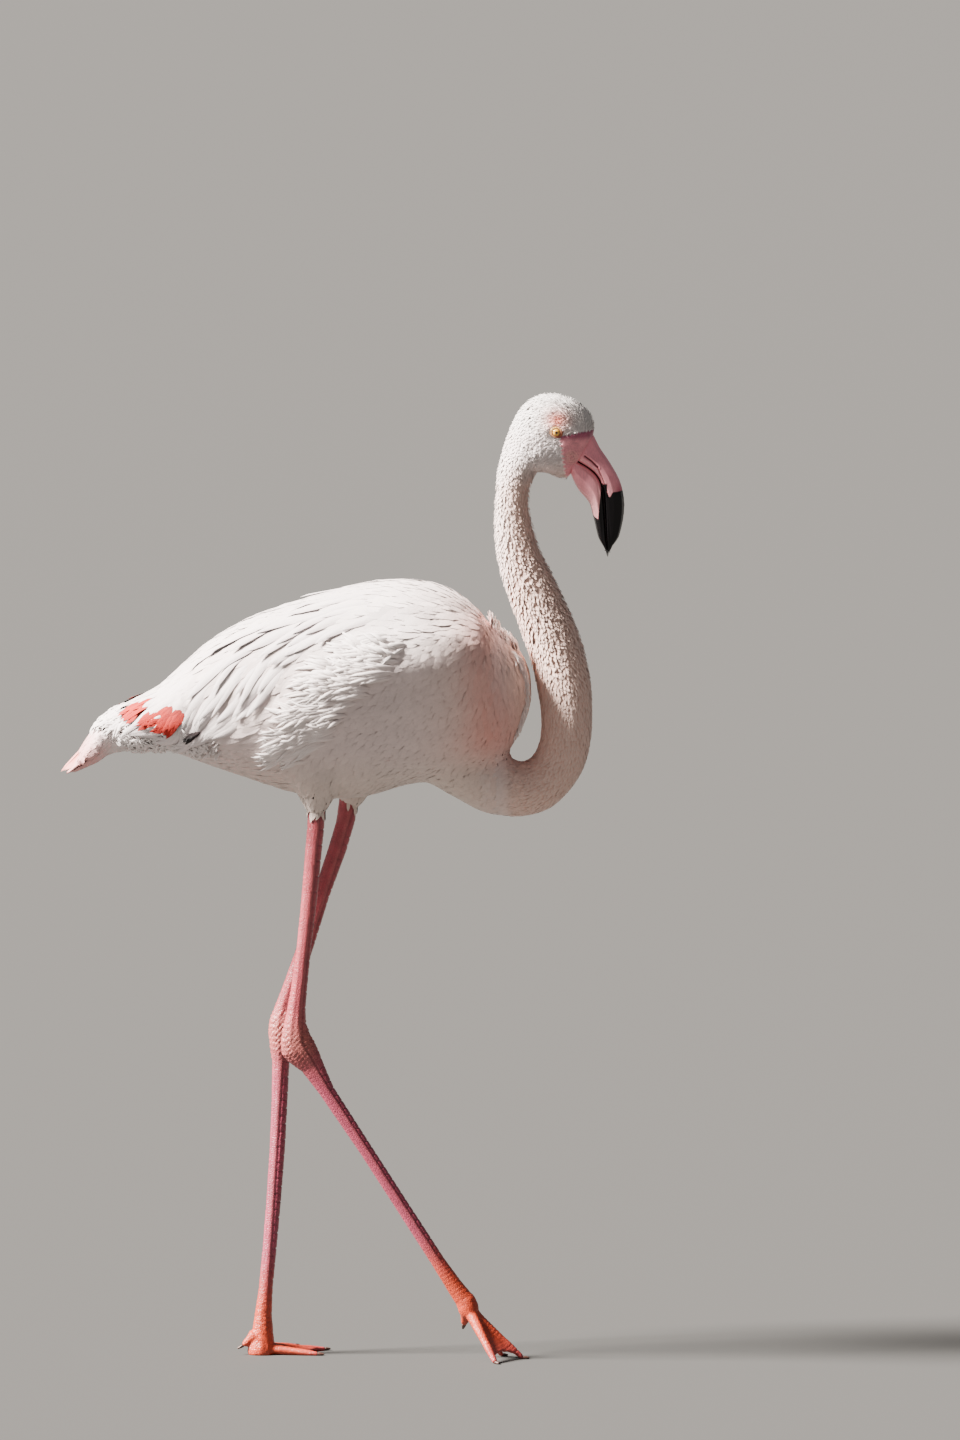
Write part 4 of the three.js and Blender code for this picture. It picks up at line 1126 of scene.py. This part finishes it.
FLANK_LIE = [(0.10, 0.80, 186), (0.03, 0.794, 176), (-0.02, 0.780, 176), (-0.07, 0.738, 182),
             (-0.07, 0.704, 200), (-0.08, 0.682, 216), (0.00, 0.720, 188)]
CURL_OVER = [0.0, 0.30, 0.62, 0.88, 1.0, 0.96, 0.78, 0.45]
STAND_UP = [0.0, 0.10, 0.24, 0.40, 0.57, 0.74, 0.88, 1.0]
PLUME = {"strands": 9, "spread": 0.0036, "length": (0.032, 0.050), "yaw": 0.16, "stand": (0.002, 0.0058),
         "curl": CURL_OVER, "width": (0.0042, 0.0074), "band": (0.022, 0.012), "side": BESIDE,
         "light": {"relief": 1.1, "lean": [(0.20, 0.0, -0.22), (-0.16, 0.0, 0.12)]}}
VENT = dict(PLUME, length=(0.010, 0.018), yaw=0.8, stand=(0.002, 0.005), strands=7, width=(0.0024, 0.0040),
            band=(0.004, 0.008), light={"relief": 0.6, "lean": [(-0.1, 0.0, 0.1), (-0.4, 0.0, 0.5)]})
RUMP = dict(PLUME, length=(0.018, 0.027), yaw=0.14, stand=(0.002, 0.006), width=(0.0034, 0.0056),
            band=(0.005, 0.008))
CREST = dict(PLUME, length=(0.009, 0.014), yaw=0.35, stand=(0.002, 0.009), spread=0.0024, curl=STAND_UP,
             width=(0.0030, 0.0052), band=(0.004, 0.003), side=0.016, light={})
FRINGE = dict(PLUME, length=(0.007, 0.011), yaw=0.30, stand=(0.001, 0.003), curl=STAND_UP, spread=0.003,
              width=(0.0014, 0.0026), band=(0.006, 0.004), side=0.03, light={},
              colouring=from_to_colouring(FRINGE_ROOT, FRINGE_TIP))
wisps("upper_flank_plumes", 84, (0.060, 0.812), (0.008, 0.766), FLANK_LIE, 51, PLUME)
wisps("lower_flank_plumes", 120, (0.004, 0.762), (-0.046, 0.694), FLANK_LIE, 53, PLUME)
wisps("vent_down", 130, (-0.238, 0.697), (-0.140, 0.694), [(-0.2, 0.69, 190)], 55, VENT)
wisps("rump_tuft", 80, (-0.258, 0.722), (-0.240, 0.728), [(-0.27, 0.72, 200)], 57, RUMP)
wisps("breast_crest", 44, (0.166, 0.822), (0.198, 0.800), [(0.18, 0.81, 140)], 59, CREST)
wisps("breast_fringe", 120, (0.204, 0.796), (0.206, 0.704), [(0.20, 0.75, 262)], 61, FRINGE)

# ------------------------------------------------------------------ bill
# Two mandibles of hard horn over bone, bent down in the middle: rose-pink, glossy black at the
# end, with a slit of a nostril in a groove. They meet along a thin line of painted shade over an
# inner lining, itself painted near black as the shade inside the mouth.
GAPE = np.array([
    (0.2550, 1.0135), (0.2652, 1.0076), (0.2752, 1.0017), (0.2833, 0.9945), (0.2884, 0.9854),
    (0.2911, 0.9722), (0.2923, 0.9575), (0.2934, 0.9406), (0.2946, 0.9226), (0.2958, 0.9080),
    (0.2972, 0.8950),
])
NOSTRIL = np.array([(0.2705, 1.0155), (0.2780, 1.0100), (0.2850, 1.0030)])
GROOVE = np.array([(0.2850, 1.0030), (0.2901, 0.9905), (0.2946, 0.9790), (0.2968, 0.9700)])
HALF_GAPE = 0.00010
RIM_REACH = 0.0030
BILL_TIP = (0.2957, 0.9030)
NOSTRIL_DEPTH, NOSTRIL_LIP, GROOVE_DEPTH = 0.0018, 0.0006, 0.0008
TOMIUM_RISE, TOMIUM_HOLLOW = 0.00055, 0.0004
LINING_DEPTH = 0.0034
BLACK_EDGE = 0.0004
BILL_PINK, PALE_PINK, BILL_FRONT_SHADE = (0.98, 0.365, 0.425), (0.98, 0.49, 0.49), (0.42, 0.03, 0.09)
GAPE_SHADE, NOSTRIL_SHADE, GROOVE_SHADE_ROSE = (0.05, 0.006, 0.012), (0.08, 0.008, 0.014), (0.40, 0.05, 0.07)
JET, MOUTH_SHADE = (0.004, 0.003, 0.004), (0.02, 0.003, 0.005)


def off_line(points, line):
    """Distance from a side view's line, to its front positive, and how far along it."""
    gap, along, front = beside_line(points, line)
    return np.where(front >= 0, gap, -gap), along


def bill_colour_and_shade(points, upper):
    """The horn's colour from its place, with painted shade on the front of the upper mandible, along the
    gape, in the nostril and in the groove, and how far it is black.
    """
    x, z = points[:, 0], points[:, 2]
    from_gape = np.abs(off_line(points, GAPE)[0])
    pale = 0.6 * ramp(0.99, 0.955, z) + 0.45 * hump(0.0040, 0.0016, from_gape)
    pink = blend(all_over(BILL_PINK, points), PALE_PINK, pale)
    if upper:
        wedge = 0.9752 - 0.0055 * hump(0.2985, 0.0022, x) + 0.0012 * ramp(0.305, 0.314, x)
        black = ramp(-BLACK_EDGE, BLACK_EDGE, wedge - z)
        black = np.maximum(black, ramp(0.2962, 0.2952, x) * ramp(0.986, 0.983, z))
        # Painted shade: the front of the upper mandible, turned from the light, darkens to plum.
        pink = blend(pink, BILL_FRONT_SHADE, 0.75 * ramp(0.992, 0.974, z) * ramp(0.301, 0.310, x))
    else:
        edge = 0.2893 - 0.10 * np.clip(0.985 - z, 0, 0.05)
        black = ramp(-BLACK_EDGE, BLACK_EDGE, x - edge) * ramp(0.992, 0.989, z)
        lower_edge = 0.9445 + 0.8 * (0.2850 - x)
        black = np.maximum(black, ramp(-BLACK_EDGE, BLACK_EDGE, lower_edge - z))
    colouring = blend(blend(pink, GAPE_SHADE, 0.9 * ramp(0.0006, 0.0002, from_gape)), JET, black)
    if upper:
        slit, groove = np.abs(off_line(points, NOSTRIL)[0]), np.abs(off_line(points, GROOVE)[0])
        colouring = blend(colouring, NOSTRIL_SHADE, 0.9 * ramp(0.0011, 0.0005, slit))
        # Painted shade: the groove is darkened to a deep rose.
        colouring = blend(colouring, GROOVE_SHADE_ROSE, 0.7 * ramp(0.0010, 0.0003, groove) * (1 - black))
    return colouring, black


def shape_bill(name, node, upper):
    """One mandible: closed up to the gape line, with its ridge, nostril and grooves."""
    piece = fuse(name, joined_copy([node], grow=0.0004), voxel=0.0006, rounds=7)
    points, outward = points_of(piece.data), normals_of(piece.data)
    signed, along = off_line(points, GAPE)
    toward = 1.0 if upper else -1.0
    gap = signed * toward
    reach = ramp(0.0, 0.012, along)
    # The solid's rim is found at stations along the gape, evened, and drawn to the line.
    stations = np.linspace(0.0, along.max(), 50)
    nearest_rim = [np.percentile(gap[np.abs(along - s) < RIM_REACH], 2) for s in stations]
    rim = np.interp(along, stations, np.convolve(np.pad(nearest_rim, 2, "edge"), np.full(5, 0.2), "valid"))
    close = (rim - HALF_GAPE) * np.exp(-np.maximum(gap - rim, 0) / RIM_REACH) * reach
    shift = (np.maximum(gap - close, HALF_GAPE) - gap) * toward
    line_dir = np.gradient(GAPE, axis=0)
    index = np.abs(points[:, None, [0, 2]] - GAPE[None]).sum(2).argmin(1)
    across = np.stack([-line_dir[index, 1], line_dir[index, 0]], 1)
    across /= np.linalg.norm(across, axis=1)[:, None]
    points[:, 0] += across[:, 0] * shift * (reach > 0)
    points[:, 2] += across[:, 1] * shift * (reach > 0)
    from_gape = np.abs(off_line(points, GAPE)[0])
    beside = ramp(0.15, 0.5, np.abs(outward[:, 1]))
    depth = TOMIUM_RISE * hump(0.0022, 0.0009, from_gape) * beside
    depth -= TOMIUM_HOLLOW * hump(0.0040, 0.0010, from_gape) * beside
    if upper:
        slit, groove = off_line(points, NOSTRIL)[0], off_line(points, GROOVE)[0]
        depth -= NOSTRIL_DEPTH * hump(0.0, 0.0008, slit) * beside
        depth += NOSTRIL_LIP * hump(0.0022, 0.0010, np.abs(slit)) * beside
        depth -= GROOVE_DEPTH * hump(0.0, 0.0009, groove) * beside
    points = points + outward * depth[:, None]
    # Both mandibles draw in to the tip.
    pinch = ramp(BILL_TIP[1] + 0.026, BILL_TIP[1] + 0.004, points[:, 2])
    points[:, 0] += (BILL_TIP[0] - points[:, 0]) * 0.75 * pinch**2
    points[:, 1] *= 1.0 - 0.4 * pinch**2
    points[:, 2] -= 0.0022 * pinch**2
    move_points(piece.data, points)
    colouring, black = bill_colour_and_shade(points, upper)
    paint(piece.data, "colouring", colouring)
    paint(piece.data, "black", black)
    return piece


bill_upper = shape_bill("upper_mandible", "bill_upper", True)
bill_lower = shape_bill("lower_mandible", "bill_lower", False)
lining_copy = joined_copy(["bill_upper", "bill_lower"], grow=0.0010)
lining = fuse("mouth_lining", lining_copy, voxel=0.0012, rounds=8)
move_points(lining.data, points_of(lining.data) - normals_of(lining.data) * LINING_DEPTH)
points = points_of(lining.data)
# Painted shade: the lining is near black, as the inside of the mouth lies in shade.
paint(lining.data, "colouring", all_over(MOUTH_SHADE, points))
paint(lining.data, "black", np.zeros(len(points)))


def object_place(tree):
    """Where a point lies on its piece."""
    return add_node(tree, "TexCoord").outputs["Object"]


def horn_material(name):
    """Horn: satin where it is pink, glossy where it is black, with fine lines along it."""
    made, tree, shader = new_material(name, {
        "Specular IOR Level": 0.18, "Coat Weight": 0.08, "Coat Roughness": 0.12})
    along_bill = {"Vector": object_place(tree), "Rotation": (0.0, math.radians(-24), 0.0),
                  "Scale": (900.0, 900.0, 160.0)}
    stretched = add_node(tree, "Mapping", along_bill).outputs["Vector"]
    lines = add_node(tree, "TexNoise", {"Vector": stretched, "Scale": 1.0, "Detail": 4.0}).outputs["Fac"]
    tinted(tree, shader, colouring_of(tree), from_to(tree, lines, 0.86, 1.08, 0.3, 0.7))
    black = add_node(tree, "Attribute", attribute_name="black").outputs["Fac"]
    tree.links.new(from_to(tree, black, 0.42, 0.24), shader.inputs["Roughness"])
    in_relief(tree, shader, lines, 0.35, 0.0003)
    return made


HORN = horn_material("horn")
for piece, nodes in ((bill_upper, ["bill_upper"]), (bill_lower, ["bill_lower"]), (lining, [])):
    dress(piece, HORN)
    if nodes:
        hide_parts(*nodes)

# ------------------------------------------------------------------ eyes
# A wet ball with a yellow iris and a small black pupil, dark at the rim of the iris. It sits in
# the hollow of the skin, inside the ring of the lids.
EYE_RADIUS = 0.0062
EYE_BULGE = 0.05
EYE_PROUD = 0.0002
IRIS_RINGS = [
    (0.21, (0.01, 0.006, 0.005)), (0.25, (0.60, 0.22, 0.02)), (0.31, (0.82, 0.45, 0.05)),
    (0.56, (0.80, 0.43, 0.05)), (0.66, (0.50, 0.16, 0.02)), (0.72, (0.05, 0.012, 0.008)),
]


def colour_steps(tree, value, steps):
    """A colour that follows a value, from pairs of a position and a colour."""
    made = add_node(tree, "ValToRGB", {"Fac": value})
    stops = made.color_ramp.elements
    for index, (position, colour) in enumerate(steps):
        stop = stops[index] if index < 2 else stops.new(position)
        stop.position = position
        stop.color = (*colour, 1)
    return made.outputs["Color"]


def eye_material():
    made, tree, shader = new_material("eye", {
        "Roughness": 0.12, "Coat Weight": 1.0, "Coat Roughness": 0.02})
    place = object_place(tree)
    from_middle = {0: place, 1: (EYE_CENTRE[0], 0.0, EYE_CENTRE[2])}
    centre = add_node(tree, "VectorMath", from_middle, operation="SUBTRACT").outputs[0]
    flat = add_node(tree, "VectorMath", {0: centre, 1: (1.0, 0.0, 1.0)}, operation="MULTIPLY").outputs[0]
    radius = add_node(tree, "VectorMath", {0: flat}, operation="LENGTH").outputs["Value"]
    share = add_node(tree, "Math", {0: radius, 1: EYE_RADIUS}, operation="DIVIDE").outputs[0]
    rings = colour_steps(tree, share, IRIS_RINGS)
    fibres = add_node(tree, "TexNoise", {"Vector": place, "Scale": 1800.0}).outputs["Fac"]
    tinted(tree, shader, rings, from_to(tree, fibres, 0.8, 1.15))
    return made


EYE = eye_material()
for side, name in ((1, "left"), (-1, "right")):
    ball = bmesh.new()
    bmesh.ops.create_uvsphere(ball, u_segments=48, v_segments=32, radius=EYE_RADIUS)
    for vert in ball.verts:
        # The clear front of the eye bulges a little beyond the ball.
        forward = max(vert.co.y * side / EYE_RADIUS, 0.0)
        vert.co.y *= 1.0 + EYE_BULGE * forward**4
        vert.co.x += EYE_CENTRE[0]
        vert.co.y += side * (EYE_CENTRE[1] + EYE_PROUD)
        vert.co.z += EYE_CENTRE[2]
    eye = new_object(f"eyeball_{name}", ball)
    dress(eye, EYE)
    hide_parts(f"eye_{name}")

# ------------------------------------------------------------------ claws
# Short blunt horn over the last bone of each toe, dark brown flecked with paler worn horn. Each
# one is the solid's own form, evened.
CLAW_TOES = ("inner", "middle", "outer", "hind")
CLAW_NODES = [f"claw_{side}_{toe}" for side in ("left", "right") for toe in CLAW_TOES]
CLAW_BROWN, CLAW_WORN = (0.022, 0.012, 0.010), (0.13, 0.055, 0.040)


def claw_material():
    made, tree, shader = new_material("claw_horn", {"Roughness": 0.38})
    speck = {"Vector": object_place(tree), "Scale": 700.0, "Detail": 4.0}
    grain = add_node(tree, "TexNoise", speck).outputs["Fac"]
    tone = colour_steps(tree, grain, [(0.3, CLAW_BROWN), (0.75, CLAW_WORN)])
    tree.links.new(tone, shader.inputs["Base Color"])
    in_relief(tree, shader, grain, 0.3, 0.0002)
    return made


CLAW_HORN = claw_material()
for node in CLAW_NODES:
    grown = joined_copy([node], grow=0.0002)
    claw = fuse(node.replace("claw", "horn_of_claw"), grown, voxel=0.0004, rounds=8)
    dress(claw, CLAW_HORN)
    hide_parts(node)


# ------------------------------------------------------------------ the one skin
# The shells of trunk, neck, head, lids and legs are one skin. Under the coat it has the plumage's
# colours, painted light and shade included; the naked face is rose and creased, with painted shade
# in the creases and under the brow; the legs and feet are scaly, with painted shade in their
# grooves and painted highlights on the tendons.
FACE_ROSE, CORNER_PALE = (0.97, 0.35, 0.405), (0.95, 0.48, 0.44)
# Painted shade: plum under the brow, and a darker red in the creases by the mouth.
BROW_SHADE_PLUM, CREASE_SHADE_RED = (0.36, 0.05, 0.13), (0.52, 0.09, 0.13)
COATED = 0
NAKED = 1
SCALY = 2


def head_colour_and_shade(points):
    """The plumage's colours, and on the naked face rose with painted shade: darker red in the creases and
    plum under the brow.
    """
    crease, corner = mouth_creases(points)
    rose = blend(all_over(FACE_ROSE, points), CORNER_PALE, 0.6 * hump(0.0045, 0.0035, corner))
    rose = blend(rose, BROW_SHADE_PLUM, 0.85 * ramp(1.0325, 1.0385, points[:, 2]))
    rose = blend(rose, CREASE_SHADE_RED, 0.6 * np.maximum(crease, 0) ** 3 * hump(0.0, 0.014, corner))
    return blend(plumage_colour_light_and_shade(points), rose, bare_face(points))


def skin_material(name, roughness, scale, relief, contrast):
    """Living skin: the dye, broken up by small scales or pores, with the same scales in relief."""
    made, tree, shader = new_material(name, {"Coat Weight": 0.25, "Coat Roughness": 0.25})
    place = object_place(tree)
    cells = add_node(tree, "TexVoronoi", {"Vector": place, "Scale": scale}, feature="DISTANCE_TO_EDGE")
    edge = from_to(tree, cells.outputs["Distance"], 0.0, 1.0, end=0.18)
    clouds = {"Vector": place, "Scale": scale * 0.22, "Detail": 5.0}
    blotch = add_node(tree, "TexNoise", clouds).outputs["Fac"]
    shade = from_to(tree, edge, 1.0 - contrast, 1.0)
    patches = from_to(tree, blotch, 0.84, 1.14, 0.3, 0.7)
    both = add_node(tree, "Math", {0: shade, 1: patches}, operation="MULTIPLY").outputs[0]
    tinted(tree, shader, colouring_of(tree), both)
    wet = from_to(tree, blotch, roughness + 0.10, roughness - 0.06)
    tree.links.new(wet, shader.inputs["Roughness"])
    in_relief(tree, shader, edge, 0.5, relief)
    return made


SHELLS = [(trunk_skin, plumage_colour_light_and_shade, COATED, 0.35), (neck_skin, plumage_colour_light_and_shade, COATED, 0.5),
          (head_skin, head_colour_and_shade, COATED, 0.7), (eyelid_skin, lid_colour_light_and_shade, NAKED, 1.0),
          (leg_skin, leg_colour_highlight_and_shade, SCALY, 0.85)]
joined = bmesh.new()
colourings, kinds = [], []
for piece, colouring_at, kind, kept in SHELLS:
    thin = piece.modifiers.new("thin", "DECIMATE")
    thin.ratio = kept
    apply_modifiers(piece)
    points = points_of(piece.data)
    colourings.append(colouring_at(points))
    middles = np.array([points[list(face.vertices)].mean(0) for face in piece.data.polygons])
    kinds.append(np.where((bare_face(middles) > 0.5) & (piece is head_skin), NAKED, kind))
    joined.from_mesh(piece.data)
    bpy.data.objects.remove(piece)
skin = new_object("skin", joined)
paint(skin.data, "colouring", np.concatenate(colourings))
skin.data.polygons.foreach_set("material_index", np.concatenate(kinds))
for look in (("coated_skin", 0.75, 500.0, 0.0002, 0.06), ("naked_skin", 0.40, 800.0, 0.0005, 0.22),
             ("scaly_skin", 0.36, 420.0, 0.0005, 0.22)):
    skin.data.materials.append(skin_material(*look))
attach(skin, "root")
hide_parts(*TRUNK_NODES, "tail", "neck_bend", "neck_middle", "neck_top", "head", *LEG_NODES)
for surface in (head_surface, neck_surface, trunk_surface):
    surface.free()

# ------------------------------------------------------------------ floor and light
# A plain pale floor that runs out of sight, a soft sun from high behind the bird's tail, and an
# even, slightly cool light from all round.
FLOOR_SIZE = 150.0
FLOOR_PALE = (0.047, 0.0457, 0.0437, 1.0)
SKY_COOL = (0.92, 0.94, 1.0, 1.0)
SKY_STRENGTH = 0.17
SUN_STRENGTH = 33.0
SUN_ANGLE = math.radians(16)
SUN_WARM = (1.0, 0.94, 0.875)
SUN_WAY = Vector((0.72, 0.12, -0.68))
ground = bmesh.new()
bmesh.ops.create_grid(ground, x_segments=1, y_segments=1, size=FLOOR_SIZE)
floor = new_object("floor", ground)
floor.data.materials.append(new_material("floor_paint", {"Base Color": FLOOR_PALE, "Roughness": 0.9})[0])

world = bpy.data.worlds.new("studio")
world.use_nodes = True
sky = world.node_tree.nodes["Background"]
sky.inputs["Color"].default_value = SKY_COOL
sky.inputs["Strength"].default_value = SKY_STRENGTH
bpy.context.scene.world = world

key_data = bpy.data.lights.new("key", "SUN")
key_data.energy = SUN_STRENGTH
key_data.angle = SUN_ANGLE
key_data.color = SUN_WARM
key = link_object("key", key_data)
key.rotation_euler = SUN_WAY.to_track_quat("-Z", "Y").to_euler()
